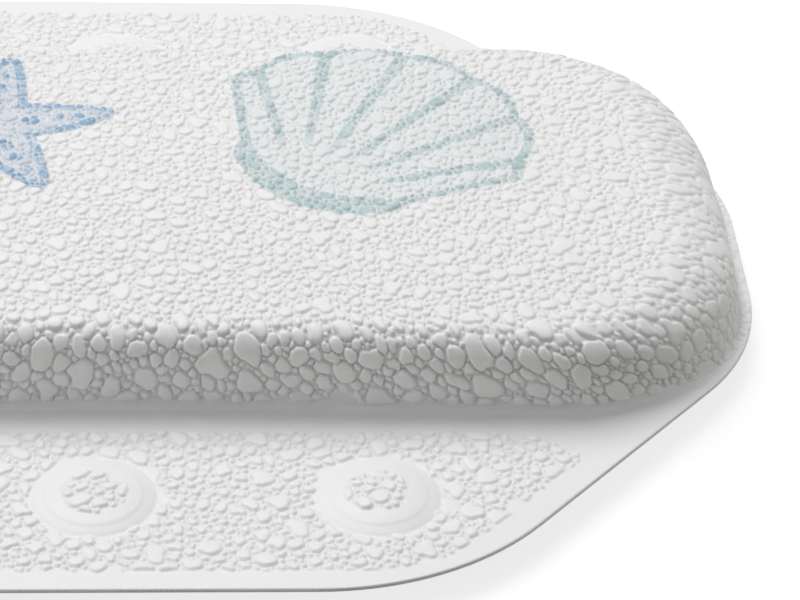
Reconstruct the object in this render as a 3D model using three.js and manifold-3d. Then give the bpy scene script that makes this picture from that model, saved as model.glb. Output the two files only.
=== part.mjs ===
// Bath pillow: a foam cushion under a formed vinyl cover, welded to a flat base sheet.
// Six suction cups hold it to the wall of the bath.
// Millimetres, +Z up. The rims of the cups stand on z = 0, X runs along the pillow's
// length and the front long side faces -Y. The origin is under the middle of the cushion.

import * as THREE from 'three';
import { mergeVertices } from 'three/addons/utils/BufferGeometryUtils.js';
import Module from 'manifold-3d';

const wasm = await Module();
wasm.setup();

// Cushion, measured along its foot, and the height of its front ridge above the weld band.
// The ridge climbs from the front side to the back, and drops at the two front corners.
const cushionLength = 371;
const cushionDepth = 151;
const cushionCornerRadius = 53;
const cushionHeight = 26;
const backRise = 4;
const crownRise = 1.6;
const cornerFall = 3;
const endLean = 9.5;
const wallBulge = 1.6;
const sideDrawIn = 2;
const ridgeRadius = 7;
const footFillet = 2.5;
const foamClearance = 0.3;

// Flange: a narrow weld seam past each end of the cushion and a wing along each side.
// Its outline is an octagon with four long diagonals, all eight corners well rounded.
const flangeEndSeam = 4;
const flangeWing = 75.5;
const flangeLength = cushionLength + 2 * flangeEndSeam;
const flangeDepth = cushionDepth + 2 * flangeWing;
const flangeFrontEdge = 190;
const flangeEndEdge = 90;
const flangeFrontRounding = 80;
const flangeEndRounding = 70;

// Sheets, welded together all round
const baseSheetThickness = 0.5;
const weldedCoverThickness = 0.6;
const weldEdgeRounding = 0.25;
const coverWall = 2;

// Pebbled fields of the flange, one in front of the cushion and one behind
const padRise = 0.8;
const padWeldBand = 9;
const padEdgeBorder = 7;
const padDiagonalBorder = 8;
const padTipDrop = 10;
const padShoulderRun = 18;
const padTipRounding = 5;
const padCornerRounding = 40;
const padBevel = 0.4;

// Suction cups, three in a row on each wing, each under its own dome
const cupPitch = 76;
const cupsPerRow = 3;
const cupRowInset = 38;
const cupSkirtHeight = 8.3;
const cupRimRadius = 17;
const cupRimThickness = 0.8;
const cupRimLand = 2;
const cupHollowDepth = 5;
const cupShoulder = 2;
const cupNeckRadius = 4.5;
const cupHeadRadius = 8;
const cupHeadThickness = 1.2;
const cupHeadRounding = 0.3;
const cupFlarePower = 1.3;
const cupClearance = 0.3;
const domeRadius = 17.5;
const domeRise = 2;
const knobRadius = 9.5;
const knobStep = 0.25;
const headCover = 1.3;

// Heights of the stack, from the rims of the cups upwards
const baseUnderside = cupSkirtHeight + cupClearance;
const baseTop = baseUnderside + baseSheetThickness;
const weldTop = baseTop + weldedCoverThickness;
const padTop = weldTop + padRise;
const headBottom = baseTop + cupClearance;
const headTop = headBottom + cupHeadThickness;
const pocketTop = headTop + cupClearance;
const embedHeight = baseTop + weldedCoverThickness / 3;
const cutOverrun = 1;

// Steps of the outlines: arcs at the corners, straights along the sides and the ends
const cornerSteps = 9;
const sideSteps = 10;
const endSteps = 4;
const flangeArcSteps = 3;
const padArcSteps = 5;
const roundSteps = 24;

// Levels of the cushion's section, as shares of the wall's height, the ridge's quarter
// turn and the way from the ridge to the middle of the crown
const outerWallShares = [0.1, 0.35, 0.7, 1];
const outerTurnShares = [0.35, 0.7, 1];
const outerCrownShares = [0.2, 0.45, 0.72];
const innerWallShares = [0.35, 1];
const innerTurnShares = [0.5, 1];
const innerCrownShares = [0.3, 0.65];

// Colours and finishes
const coverFinish = { color: 0xe9ebea, roughness: 0.62, metalness: 0 };
const baseFinish = { color: 0xe3e5e4, roughness: 0.5, metalness: 0 };
const foamFinish = { color: 0xefe9d6, roughness: 0.95, metalness: 0 };
const cupFinish = { color: 0xdfe6e6, roughness: 0.25, metalness: 0 };

// Points of a closed loop whose corners are rounded, counter-clockwise. A rounding is
// held back where the two sides that meet there are too short for it.
function filletedLoop(corners) {
  const points = [];
  const count = corners.length;
  for (let i = 0; i < count; i += 1) {
    const corner = corners[i];
    const before = corners[(i + count - 1) % count].at;
    const after = corners[(i + 1) % count].at;
    const toBefore = before.clone().sub(corner.at);
    const toAfter = after.clone().sub(corner.at);
    const shortest = Math.min(toBefore.length(), toAfter.length());
    toBefore.normalize();
    toAfter.normalize();
    const halfAngle = Math.acos(toBefore.dot(toAfter)) / 2;
    const reach = Math.min(corner.rounding / Math.tan(halfAngle), shortest / 2);
    const radius = reach * Math.tan(halfAngle);
    const middle = toBefore.clone().add(toAfter).normalize();
    const centre = corner.at.clone().addScaledVector(middle, radius / Math.sin(halfAngle));
    const start = corner.at.clone().addScaledVector(toBefore, reach).sub(centre);
    const sweep = Math.PI - 2 * halfAngle;
    for (let step = 0; step <= corner.arcSteps; step += 1) {
      const turned = start.clone().rotateAround(new THREE.Vector2(), sweep * step / corner.arcSteps);
      points.push(turned.add(centre));
    }
  }
  return points;
}

// The loop again, with each straight that follows a corner cut into its own number of steps
function steppedLoop(corners) {
  const bare = filletedLoop(corners);
  const points = [];
  let index = 0;
  for (const corner of corners) {
    for (let step = 0; step <= corner.arcSteps; step += 1) {
      points.push(bare[index]);
      index += 1;
    }
    const from = bare[index - 1];
    const to = bare[index % bare.length];
    for (let step = 1; step < corner.straightSteps; step += 1) {
      points.push(from.clone().lerp(to, step / corner.straightSteps));
    }
  }
  return points;
}

function corner(x, y, rounding, arcSteps, straightSteps) {
  return { at: new THREE.Vector2(x, y), rounding, arcSteps, straightSteps };
}

// Both diagonal corners of each quarter of the flange, with one straight between them,
// so that the flange has as many points as the cushion's outline
function flangeOutline(inset) {
  const halfLength = flangeLength / 2 - inset;
  const halfDepth = flangeDepth / 2 - inset;
  const frontX = flangeFrontEdge / 2;
  const endY = flangeEndEdge / 2;
  const front = flangeFrontRounding;
  const end = flangeEndRounding;
  const arcs = flangeArcSteps + 1;
  const diagonal = cornerSteps - 2 * arcs;
  return steppedLoop([
    corner(frontX, -halfDepth, front, arcs, diagonal),
    corner(halfLength, -endY, end, arcs, endSteps),
    corner(halfLength, endY, end, arcs, diagonal),
    corner(frontX, halfDepth, front, arcs, sideSteps),
    corner(-frontX, halfDepth, front, arcs, diagonal),
    corner(-halfLength, endY, end, arcs, endSteps),
    corner(-halfLength, -endY, end, arcs, diagonal),
    corner(-frontX, -halfDepth, front, arcs, sideSteps),
  ]);
}

// The cushion's plan at a share of the wall's height: the ends lean in, the wall bulges
// between its foot and its ridge, and the long sides are drawn in between the corners
function cushionOutline(wallShare, inset) {
  const bulge = wallBulge * Math.sin(Math.PI * wallShare);
  const halfLength = cushionLength / 2 - endLean * wallShare + bulge - inset;
  const halfDepth = cushionDepth / 2 + bulge - inset;
  const rounding = cushionCornerRadius - inset;
  const points = steppedLoop([
    corner(halfLength, -halfDepth, rounding, cornerSteps, endSteps),
    corner(halfLength, halfDepth, rounding, cornerSteps, sideSteps),
    corner(-halfLength, halfDepth, rounding, cornerSteps, endSteps),
    corner(-halfLength, -halfDepth, rounding, cornerSteps, sideSteps),
  ]);
  const straight = halfLength - rounding;
  for (const point of points) {
    const along = Math.min(1, Math.abs(point.x) / straight);
    const drawn = sideDrawIn * Math.cos(Math.PI / 2 * along) ** 2;
    point.y -= drawn * point.y / halfDepth;
  }
  return points;
}

// How far the ridge stands above its height at the middle of the front side
function ridgeLift(point) {
  const alongShare = Math.abs(point.x) / (cushionLength / 2);
  const backShare = point.y / (cushionDepth / 2);
  const frontShare = Math.max(0, -backShare);
  const fall = cornerFall * Math.min(1, 2 * (alongShare * frontShare) ** 3);
  return backRise * (1 + backShare) / 2 - fall;
}

// Rings of the cushion from its foot to the crown, and the point at the crown's middle.
// The inset gives the inner face of the cover, or the foam inside it.
function cushionRings(inset, footHeight, wallShares, turnShares, crownShares) {
  const foot = weldTop;
  const turnRadius = ridgeRadius - inset;
  const plan = cushionOutline(1, 0);
  const ridgeHeights = plan.map((point) => foot + cushionHeight + ridgeLift(point) - inset);
  const rings = [cushionOutline(0, inset).map((p) => new THREE.Vector3(p.x, p.y, footHeight))];
  for (const share of wallShares) {
    const loop = cushionOutline(share, inset);
    rings.push(loop.map((p, i) => {
      const top = ridgeHeights[i] - turnRadius;
      return new THREE.Vector3(p.x, p.y, footHeight + (top - footHeight) * share);
    }));
  }
  let ridge = [];
  for (const share of turnShares) {
    const turn = Math.PI / 2 * share;
    const loop = cushionOutline(1, inset + turnRadius * (1 - Math.cos(turn)));
    ridge = loop.map((p, i) => {
      const z = ridgeHeights[i] - turnRadius * (1 - Math.sin(turn));
      return new THREE.Vector3(p.x, p.y, z);
    });
    rings.push(ridge);
  }
  const middle = new THREE.Vector3(0, 0, foot + cushionHeight + backRise / 2 + crownRise - inset);
  for (const share of crownShares) {
    rings.push(ridge.map((p) => {
      const rise = 1 - (1 - share) ** 2;
      return new THREE.Vector3(p.x * (1 - share), p.y * (1 - share), p.z + (middle.z - p.z) * rise);
    }));
  }
  return { rings, middle };
}

// A body made of rings of equal count, joined one to the next
class RingBody {
  constructor() {
    this.positions = [];
    this.faces = [];
  }

  addRing(points) {
    const first = this.positions.length / 3;
    for (const point of points) {
      this.positions.push(point.x, point.y, point.z);
    }
    return { first, count: points.length };
  }

  // Faces between two rings: outward when the rings climb a wall seen from outside
  bridge(lower, upper) {
    for (let i = 0; i < lower.count; i += 1) {
      const next = (i + 1) % lower.count;
      this.faces.push(lower.first + i, lower.first + next, upper.first + next);
      this.faces.push(lower.first + i, upper.first + next, upper.first + i);
    }
  }

  // A fan that closes a ring at a point, seen from above or from below
  close(ring, point, seenFromBelow) {
    const tip = this.addRing([point]).first;
    for (let i = 0; i < ring.count; i += 1) {
      const one = ring.first + i;
      const two = ring.first + (i + 1) % ring.count;
      const face = seenFromBelow ? [two, one, tip] : [one, two, tip];
      this.faces.push(...face);
    }
  }

  geometry() {
    const geometry = new THREE.BufferGeometry();
    geometry.setAttribute('position', new THREE.Float32BufferAttribute(this.positions, 3));
    geometry.setIndex(this.faces);
    geometry.computeVertexNormals();
    return geometry;
  }
}

function flatRing(points, z) {
  return points.map((point) => new THREE.Vector3(point.x, point.y, z));
}

// A closed geometry as a solid that can be joined and cut
function toSolid(geometry) {
  const bare = geometry.clone();
  bare.deleteAttribute('normal');
  bare.deleteAttribute('uv');
  const merged = mergeVertices(bare);
  return new wasm.Manifold(new wasm.Mesh({
    numProp: 3,
    vertProperties: new Float32Array(merged.attributes.position.array),
    triVerts: new Uint32Array(merged.index.array),
  }));
}

function toGeometry(solid) {
  const mesh = solid.getMesh();
  const geometry = new THREE.BufferGeometry();
  geometry.setAttribute('position', new THREE.BufferAttribute(mesh.vertProperties, 3));
  geometry.setIndex(new THREE.BufferAttribute(mesh.triVerts, 1));
  geometry.computeVertexNormals();
  return geometry;
}

// The formed sheet: flange, weld band, cushion shell, and the open hollow beneath it
function coverShell() {
  const body = new RingBody();
  const edge = flangeOutline(0);
  const edgeLow = body.addRing(flatRing(edge, baseTop));
  const edgeHigh = body.addRing(flatRing(edge, weldTop - weldEdgeRounding));
  const bead = body.addRing(flatRing(flangeOutline(weldEdgeRounding), weldTop));
  const band = body.addRing(flatRing(cushionOutline(0, -footFillet), weldTop));
  body.bridge(edgeLow, edgeHigh);
  body.bridge(edgeHigh, bead);
  body.bridge(bead, band);
  const outside = cushionRings(0, weldTop + footFillet, outerWallShares, outerTurnShares, outerCrownShares);
  let below = band;
  for (const points of outside.rings) {
    const ring = body.addRing(points);
    body.bridge(below, ring);
    below = ring;
  }
  body.close(below, outside.middle, false);
  const inside = cushionRings(coverWall, baseTop, innerWallShares, innerTurnShares, innerCrownShares);
  const hollow = inside.rings.map((points) => body.addRing(points));
  body.bridge(hollow[0], edgeLow);
  for (let i = 1; i < hollow.length; i += 1) {
    body.bridge(hollow[i], hollow[i - 1]);
  }
  body.close(hollow[hollow.length - 1], inside.middle, true);
  return toSolid(body.geometry());
}

// One pebbled field of a wing: side is -1 in front of the cushion and 1 behind it
function padSolid(side) {
  const run = (flangeLength - flangeFrontEdge) / 2;
  const rise = (flangeDepth - flangeEndEdge) / 2;
  const shift = padDiagonalBorder * Math.hypot(run, rise) / rise;
  const outerY = flangeDepth / 2 - padEdgeBorder;
  const innerY = cushionDepth / 2 + padWeldBand;
  const tipY = innerY + padTipDrop;
  const diagonalX = (y) => flangeFrontEdge / 2 - shift + (flangeDepth / 2 - y) * run / rise;
  const tipX = diagonalX(tipY);
  const shoulderX = tipX - padShoulderRun;
  const half = [
    corner(diagonalX(outerY), -outerY, padCornerRounding, padArcSteps, 1),
    corner(tipX, -tipY, padTipRounding, padArcSteps, 1),
    corner(shoulderX, -innerY, padCornerRounding, padArcSteps, 1),
  ];
  const mirrored = half.map((c) => corner(-c.at.x, c.at.y, c.rounding, padArcSteps, 1)).reverse();
  const shape = new THREE.Shape(filletedLoop([...half, ...mirrored]));
  const geometry = new THREE.ExtrudeGeometry(shape, {
    depth: padTop - embedHeight - 2 * padBevel,
    bevelThickness: padBevel,
    bevelSize: padBevel,
    bevelOffset: -padBevel,
    bevelSegments: 1,
  });
  geometry.translate(0, 0, embedHeight + padBevel);
  if (side > 0) {
    geometry.rotateZ(Math.PI);
  }
  return toSolid(geometry);
}

function lathe(profile) {
  const points = profile.map(([r, z]) => new THREE.Vector2(r, z));
  const geometry = new THREE.LatheGeometry(points, roundSteps);
  geometry.rotateX(Math.PI / 2);
  return geometry;
}

// Height of the smooth dome over a cup at a distance from its middle
function domeHeight(radius) {
  return padTop + domeRise * (1 - (radius / domeRadius) ** 2);
}

// Dome pressed out over the cup, with the raised knob over the cup's head at its middle
function domeSolid() {
  const knobTop = Math.max(domeHeight(0) + knobStep, pocketTop + headCover);
  return toSolid(lathe([
    [0, embedHeight],
    [domeRadius, embedHeight],
    [domeRadius, domeHeight(domeRadius)],
    [(domeRadius + knobRadius) / 2, domeHeight((domeRadius + knobRadius) / 2)],
    [knobRadius + knobStep, domeHeight(knobRadius + knobStep)],
    [knobRadius - knobStep, domeHeight(knobRadius - knobStep) + knobStep],
    [knobRadius / 2, (domeHeight(knobRadius / 2) + knobStep + knobTop) / 2],
    [0, knobTop],
  ]));
}

// Room for the head of a cup, open to the underside of the cover
function pocketSolid() {
  const radius = cupHeadRadius + cupClearance;
  return toSolid(lathe([
    [0, baseTop - cutOverrun],
    [radius, baseTop - cutOverrun],
    [radius, pocketTop],
    [0, pocketTop],
  ]));
}

// Places of the cups, row by row, with the name of each
function cupPlaces() {
  const places = [];
  for (const [row, side] of [['front', -1], ['back', 1]]) {
    for (let i = 0; i < cupsPerRow; i += 1) {
      const step = i - (cupsPerRow - 1) / 2;
      const columns = { '-1': 'left', 0: 'centre', 1: 'right' };
      places.push({
        name: `suction_cup_${row}_${columns[step] ?? i + 1}`,
        x: step * cupPitch,
        y: side * (flangeDepth / 2 - cupRowInset),
      });
    }
  }
  return places;
}

// Top cover: shell, pebbled fields and domes in one piece, with a pocket for each head
function topCover() {
  let solid = coverShell();
  for (const side of [-1, 1]) {
    solid = solid.add(padSolid(side));
  }
  for (const place of cupPlaces()) {
    solid = solid.add(domeSolid().translate([place.x, place.y, 0]));
  }
  for (const place of cupPlaces()) {
    solid = solid.subtract(pocketSolid().translate([place.x, place.y, 0]));
  }
  return toGeometry(solid);
}

// Foam core: the block inside the shell, standing on the base sheet
function foamCore() {
  const inset = coverWall + foamClearance;
  const shape = cushionRings(inset, baseTop, innerWallShares, innerTurnShares, innerCrownShares);
  const body = new RingBody();
  const rings = shape.rings.map((points) => body.addRing(points));
  for (let i = 1; i < rings.length; i += 1) {
    body.bridge(rings[i - 1], rings[i]);
  }
  body.close(rings[rings.length - 1], shape.middle, false);
  body.close(rings[0], new THREE.Vector3(0, 0, baseTop), true);
  return body.geometry();
}

// Base sheet: the flange's outline cut flat, with a punched hole for each cup's neck
function baseSheet() {
  const shape = new THREE.Shape(flangeOutline(0));
  for (const place of cupPlaces()) {
    const hole = new THREE.Path();
    const radius = cupNeckRadius + cupClearance;
    for (let i = 0; i < roundSteps; i += 1) {
      const turn = -2 * Math.PI * i / roundSteps;
      const x = place.x + radius * Math.cos(turn);
      const y = place.y + radius * Math.sin(turn);
      if (i === 0) {
        hole.moveTo(x, y);
      } else {
        hole.lineTo(x, y);
      }
    }
    hole.closePath();
    shape.holes.push(hole);
  }
  const geometry = new THREE.ExtrudeGeometry(shape, { depth: baseSheetThickness, bevelEnabled: false });
  geometry.translate(0, 0, baseUnderside);
  return geometry;
}

// Suction cup: head disc, neck, and a skirt that flares and thins down to a flat rim
function suctionCup() {
  const flareStart = cupNeckRadius + cupShoulder;
  const flareShares = [0.25, 0.5, 0.75];
  const hollowShares = [0.9, 0.7, 0.45, 0.2];
  const hollowRadius = cupRimRadius - cupRimLand;
  const flare = flareShares.map((share) => [
    flareStart + (cupRimRadius - flareStart) * share,
    cupRimThickness + (cupSkirtHeight - cupRimThickness) * (1 - share) ** cupFlarePower,
  ]);
  const hollow = hollowShares.map((share) => [
    hollowRadius * share,
    cupHollowDepth * Math.cos(Math.PI / 2 * share),
  ]);
  return lathe([
    [0, cupHollowDepth],
    ...hollow.reverse(),
    [hollowRadius, 0],
    [cupRimRadius, 0],
    [cupRimRadius, cupRimThickness],
    ...flare.reverse(),
    [flareStart, cupSkirtHeight],
    [cupNeckRadius, cupSkirtHeight],
    [cupNeckRadius, headBottom],
    [cupHeadRadius, headBottom],
    [cupHeadRadius, headTop - cupHeadRounding],
    [cupHeadRadius - cupHeadRounding, headTop],
    [0, headTop],
  ]);
}

function addMesh(group, name, geometry, finish) {
  const mesh = new THREE.Mesh(geometry, new THREE.MeshStandardMaterial(finish));
  mesh.name = name;
  group.add(mesh);
  return mesh;
}

const pillow = new THREE.Group();
addMesh(pillow, 'top_cover', topCover(), coverFinish);
addMesh(pillow, 'foam_core', foamCore(), foamFinish);
addMesh(pillow, 'base_sheet', baseSheet(), baseFinish);
for (const place of cupPlaces()) {
  const cup = addMesh(pillow, place.name, suctionCup(), cupFinish);
  cup.position.set(place.x, place.y, 0);
}

export default pillow;
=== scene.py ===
"""Bath pillow: pebble-grained vinyl cover, foam core, base sheet and six suction cups."""
import logging
import math
from dataclasses import dataclass
from enum import Enum
from functools import cache

import bmesh
import bpy
import numpy as np
from mathutils import Matrix, Vector


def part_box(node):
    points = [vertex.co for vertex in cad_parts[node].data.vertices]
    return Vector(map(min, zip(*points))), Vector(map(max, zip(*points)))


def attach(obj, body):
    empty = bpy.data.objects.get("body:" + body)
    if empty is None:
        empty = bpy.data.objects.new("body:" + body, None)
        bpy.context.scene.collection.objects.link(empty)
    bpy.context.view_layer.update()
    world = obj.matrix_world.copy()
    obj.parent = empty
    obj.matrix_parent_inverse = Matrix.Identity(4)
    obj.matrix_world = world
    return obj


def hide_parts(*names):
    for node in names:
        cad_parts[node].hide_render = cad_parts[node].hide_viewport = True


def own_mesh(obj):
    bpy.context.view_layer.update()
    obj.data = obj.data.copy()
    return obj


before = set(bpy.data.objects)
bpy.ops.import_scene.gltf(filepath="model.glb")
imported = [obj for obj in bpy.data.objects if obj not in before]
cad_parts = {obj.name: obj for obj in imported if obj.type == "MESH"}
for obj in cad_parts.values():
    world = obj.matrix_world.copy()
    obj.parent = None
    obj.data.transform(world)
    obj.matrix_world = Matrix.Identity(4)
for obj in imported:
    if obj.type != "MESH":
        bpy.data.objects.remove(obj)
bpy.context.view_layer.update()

MM = 0.001
HOLE_STEPS = 48
DOME_STEPS = 72
PILLOW_BODY = "pillow"
LOG = logging.getLogger("bath_pillow")


class Row(Enum):
    """Rows of cups, by the sign of Y."""

    FRONT = -1
    BACK = 1


class Column(Enum):
    """Columns of cups, by the sign of X."""

    LEFT = -1
    CENTRE = 0
    RIGHT = 1


def linear(hex_colour: str) -> tuple[float, float, float, float]:
    """Turns an sRGB hex colour into linear light.

    Args:
        hex_colour: Six hex digits after a hash mark.

    Returns:
        Red, green and blue from 0 to 1, and an alpha of 1.
    """
    parts = [int(hex_colour[i : i + 2], 16) / 255 for i in (1, 3, 5)]
    light = [p / 12.92 if p <= 0.04045 else ((p + 0.055) / 1.055) ** 2.4 for p in parts]
    return light[0], light[1], light[2], 1.0


def fill_inputs(tree: bpy.types.NodeTree, node: bpy.types.Node, inputs: dict) -> None:
    """Fills or links a node's inputs.

    Args:
        tree: The tree that holds the node.
        node: The node.
        inputs: For each input, by name or number, a value or another node's output.
    """
    for name, value in inputs.items():
        if isinstance(value, bpy.types.NodeSocket):
            tree.links.new(value, node.inputs[name])
        else:
            node.inputs[name].default_value = value


def add_node(tree: bpy.types.NodeTree, kind: str, settings: dict | None = None,
             inputs: dict | None = None) -> bpy.types.Node:
    """Adds a node with its settings, and fills or links its inputs.

    Args:
        tree: The tree that takes the node.
        kind: The node's type name.
        settings: Values of the node's own properties.
        inputs: For each input, by name or number, a value or another node's output.

    Returns:
        The new node.
    """
    node = tree.nodes.new(kind)
    for name, value in (settings or {}).items():
        setattr(node, name, value)
    fill_inputs(tree, node, inputs or {})
    return node


def start_material(
    name: str,
) -> tuple[bpy.types.Material, bpy.types.NodeTree, bpy.types.NodeSocket]:
    """Starts a material whose patterns follow the place on the object.

    Args:
        name: What the real material is.

    Returns:
        The material, its node tree, and the place on the object there.
    """
    made = bpy.data.materials.new(name)
    made.use_nodes = True
    return made, made.node_tree, add_node(made.node_tree, "ShaderNodeTexCoord").outputs["Object"]


def rays_that_see(tree: bpy.types.NodeTree) -> bpy.types.NodeSocket:
    """Tells rays that show a surface from rays that carry its light to the object.

    Args:
        tree: The tree that takes the nodes.

    Returns:
        1 for a ray of the camera, of a gloss or through glass, and 0 for any other.
    """
    path = add_node(tree, "ShaderNodeLightPath")
    seen = path.outputs["Is Camera Ray"]
    for kind in ("Is Glossy Ray", "Is Transmission Ray"):
        either = add_node(tree, "ShaderNodeMath", {"operation": "MAXIMUM"}, {
            0: seen, 1: path.outputs[kind]})
        seen = either.outputs[0]
    return seen


def smooth_step(value: np.ndarray) -> np.ndarray:
    """Eases from 0 to 1 as the value goes from 0 to 1."""
    held = np.clip(value, 0.0, 1.0)
    return held * held * (3.0 - 2.0 * held)


def ripples(x: np.ndarray, y: np.ndarray, wavelength: float, waves: int,
            random: np.random.Generator) -> np.ndarray:
    """Sums waves of random direction into a smooth, uneven field.

    Args:
        x: Places along X, in metres.
        y: Places along Y, in metres.
        wavelength: The mean wavelength, in metres.
        waves: How many waves are summed.
        random: The source of directions and phases.

    Returns:
        The field at each place, mostly between -2 and 2.
    """
    total = np.zeros_like(x)
    for _ in range(waves):
        turn = random.uniform(0, 2 * math.pi)
        pace = 2 * math.pi / (wavelength * random.uniform(0.7, 1.5))
        phase = random.uniform(0, 2 * math.pi)
        total += np.sin(pace * (x * math.cos(turn) + y * math.sin(turn)) + phase)
    return total / math.sqrt(waves / 2)


@dataclass(frozen=True)
class Unevenness:
    """A slow, random departure from the even shape.

    Attributes:
        size: Its usual size.
        wavelength: Its mean wavelength.
        waves: How many waves it is summed from.
        seed: Where its random draws start.
    """

    size: float
    wavelength: float
    waves: int
    seed: int

    def at(self, x: np.ndarray, y: np.ndarray) -> np.ndarray:
        """Works it out at places along X and Y."""
        random = np.random.default_rng(self.seed)
        return ripples(x, y, self.wavelength, self.waves, random) * self.size


@dataclass(frozen=True)
class RoundedOutline:
    """A convex outline, counter-clockwise, with a rounding at each corner.

    Attributes:
        corners: X, Y and rounding of each corner.
        arc_steps: Straight pieces in each rounding.
    """

    corners: tuple[tuple[float, float, float], ...]
    arc_steps: int = 18

    def points(self) -> np.ndarray:
        """Works out the points of the outline, one row each."""
        made = []
        count = len(self.corners)
        for i, (x, y, rounding) in enumerate(self.corners):
            at = np.array([x, y])
            to_before = np.array(self.corners[i - 1][:2]) - at
            to_after = np.array(self.corners[(i + 1) % count][:2]) - at
            to_before /= np.linalg.norm(to_before)
            to_after /= np.linalg.norm(to_after)
            half = math.acos(float(to_before @ to_after)) / 2
            middle = (to_before + to_after) / np.linalg.norm(to_before + to_after)
            centre = at + middle * rounding / math.sin(half)
            start = at + to_before * rounding / math.tan(half) - centre
            for step in range(self.arc_steps + 1):
                turn = (math.pi - 2 * half) * step / self.arc_steps
                c, s = math.cos(turn), math.sin(turn)
                made.append(centre + [c * start[0] - s * start[1], s * start[0] + c * start[1]])
        return np.array(made)

    def distance(self, x: np.ndarray, y: np.ndarray) -> tuple[np.ndarray, np.ndarray, np.ndarray]:
        """Measures how far places lie outside the outline.

        Args:
            x: Places along X.
            y: Places along Y.

        Returns:
            The distance, negative inside, and X and Y of the outward direction there.
        """
        points = self.points()
        far = np.full(x.shape, -np.inf)
        out_x = np.zeros(x.shape)
        out_y = np.zeros(x.shape)
        for start, end in zip(points, np.roll(points, -1, axis=0)):
            along = end - start
            normal = np.array([along[1], -along[0]]) / np.linalg.norm(along)
            gap = (x - start[0]) * normal[0] + (y - start[1]) * normal[1]
            nearer = gap > far
            far[nearer] = gap[nearer]
            out_x[nearer] = normal[0]
            out_y[nearer] = normal[1]
        return far, out_x, out_y


@dataclass(frozen=True)
class Layers:
    """Heights of the stack and the cover's own thicknesses.

    Attributes:
        base_low: The underside of the base sheet.
        base_top: The plane where base sheet and cover meet.
        weld_thickness: The cover's thickness where it is welded flat.
        pad_rise: How far the grained fields stand above the weld.
        weld_bead: The small rounding along the cut edge.
    """

    base_low: float
    base_top: float
    weld_thickness: float = 0.6 * MM
    pad_rise: float = 0.8 * MM
    weld_bead: float = 0.25 * MM

    @property
    def weld_top(self) -> float:
        """The top of the flat welded seam."""
        return self.base_top + self.weld_thickness


@dataclass(frozen=True)
class Flange:
    """The flat wings round the cushion, with their grained fields and the domes over the cups.

    Attributes:
        length: The flange's length.
        depth: The flange's depth.
        front_edge: The length of each long edge, before its corners are rounded.
        end_edge: The length of each end, before its corners are rounded.
        front_rounding: The rounding where a long edge meets a diagonal.
        end_rounding: The rounding where a diagonal meets an end.
        weld_band: The smooth band between the cushion's foot and a field.
        edge_border: The smooth border along a long edge.
        diagonal_border: The smooth border along a diagonal.
        tip_drop: How far a field's pointed end lies outside its long side.
        shoulder_run: How far the long side stops short of the pointed end.
        tip_rounding: The rounding of the pointed end.
        corner_rounding: The rounding of the field's other corners.
        dome_radius: The smooth dome over a cup.
        dome_rise: How far the dome climbs to its middle.
        dome_edge: The width of the dome's soft edge.
        knob_radius: The grained knob over the cup's head.
        knob_step: The small step round the knob.
        knob_fade: The width of the knob's soft edge.
        plate_radius: The flatter plate round the knob.
        plate_step: The small step at its rim.
        plate_fade: The width of that step.
        grain_start: How far inside the dome's edge the fields' grain begins.
        grain_fade: Over what distance it does so.
    """

    length: float
    depth: float
    front_edge: float = 190 * MM
    end_edge: float = 90 * MM
    front_rounding: float = 80 * MM
    end_rounding: float = 70 * MM
    weld_band: float = 9 * MM
    edge_border: float = 7 * MM
    diagonal_border: float = 8 * MM
    tip_drop: float = 10 * MM
    shoulder_run: float = 18 * MM
    tip_rounding: float = 5 * MM
    corner_rounding: float = 40 * MM
    dome_radius: float = 17.5 * MM
    dome_rise: float = 1.4 * MM
    dome_edge: float = 1.6 * MM
    knob_radius: float = 9.5 * MM
    knob_step: float = 0.25 * MM
    knob_fade: float = 1.6 * MM
    plate_radius: float = 13.8 * MM
    plate_step: float = 0.16 * MM
    plate_fade: float = 1 * MM
    grain_start: float = 0.6 * MM
    grain_fade: float = 2.4 * MM

    def outline(self) -> RoundedOutline:
        """The cut edge: an octagon with four long diagonals."""
        x, y = self.length / 2, self.depth / 2
        front, end = self.front_edge / 2, self.end_edge / 2
        quarter = [(front, -y, self.front_rounding), (x, -end, self.end_rounding)]
        right = quarter + [(cx, -cy, r) for cx, cy, r in reversed(quarter)]
        left = [(-cx, cy, r) for cx, cy, r in reversed(right)]
        return RoundedOutline(tuple(right + left))

    def field_outline(self, cushion_depth: float) -> RoundedOutline:
        """The grained field behind the cushion; the one in front is its mirror image.

        Args:
            cushion_depth: The cushion's depth at its foot.

        Returns:
            The outline of the field.
        """
        run = (self.length - self.front_edge) / 2
        rise = (self.depth - self.end_edge) / 2
        shift = self.diagonal_border * math.hypot(run, rise) / rise
        outer = self.depth / 2 - self.edge_border
        inner = cushion_depth / 2 + self.weld_band
        tip = inner + self.tip_drop

        def diagonal(y: float) -> float:
            """X of the field's diagonal side at a place along Y."""
            return self.front_edge / 2 - shift + (self.depth / 2 - y) * run / rise

        shoulder = diagonal(tip) - self.shoulder_run
        right = [
            (shoulder, inner, self.corner_rounding),
            (diagonal(tip), tip, self.tip_rounding),
            (diagonal(outer), outer, self.corner_rounding),
        ]
        left = [(-x, y, r) for x, y, r in reversed(right)]
        return RoundedOutline(tuple(right + left))


@dataclass(frozen=True)
class FormSection:
    """The sheet's section square to the cushion's middle rectangle, as distances from it.

    Attributes:
        rounding: The ridge's rounding on the cover's outer face.
        turn_radius: The ridge's rounding on this surface.
        top_reach: Where the ridge's turn begins.
        turn_end: Where the turn ends and the wall begins.
        wall_end: Where the wall ends and the fillet begins.
        fillet_end: Where the fillet ends and the flange begins.
    """

    rounding: np.ndarray | float
    turn_radius: np.ndarray | float
    top_reach: np.ndarray | float
    turn_end: np.ndarray | float
    wall_end: np.ndarray | float
    fillet_end: np.ndarray | float


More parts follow.
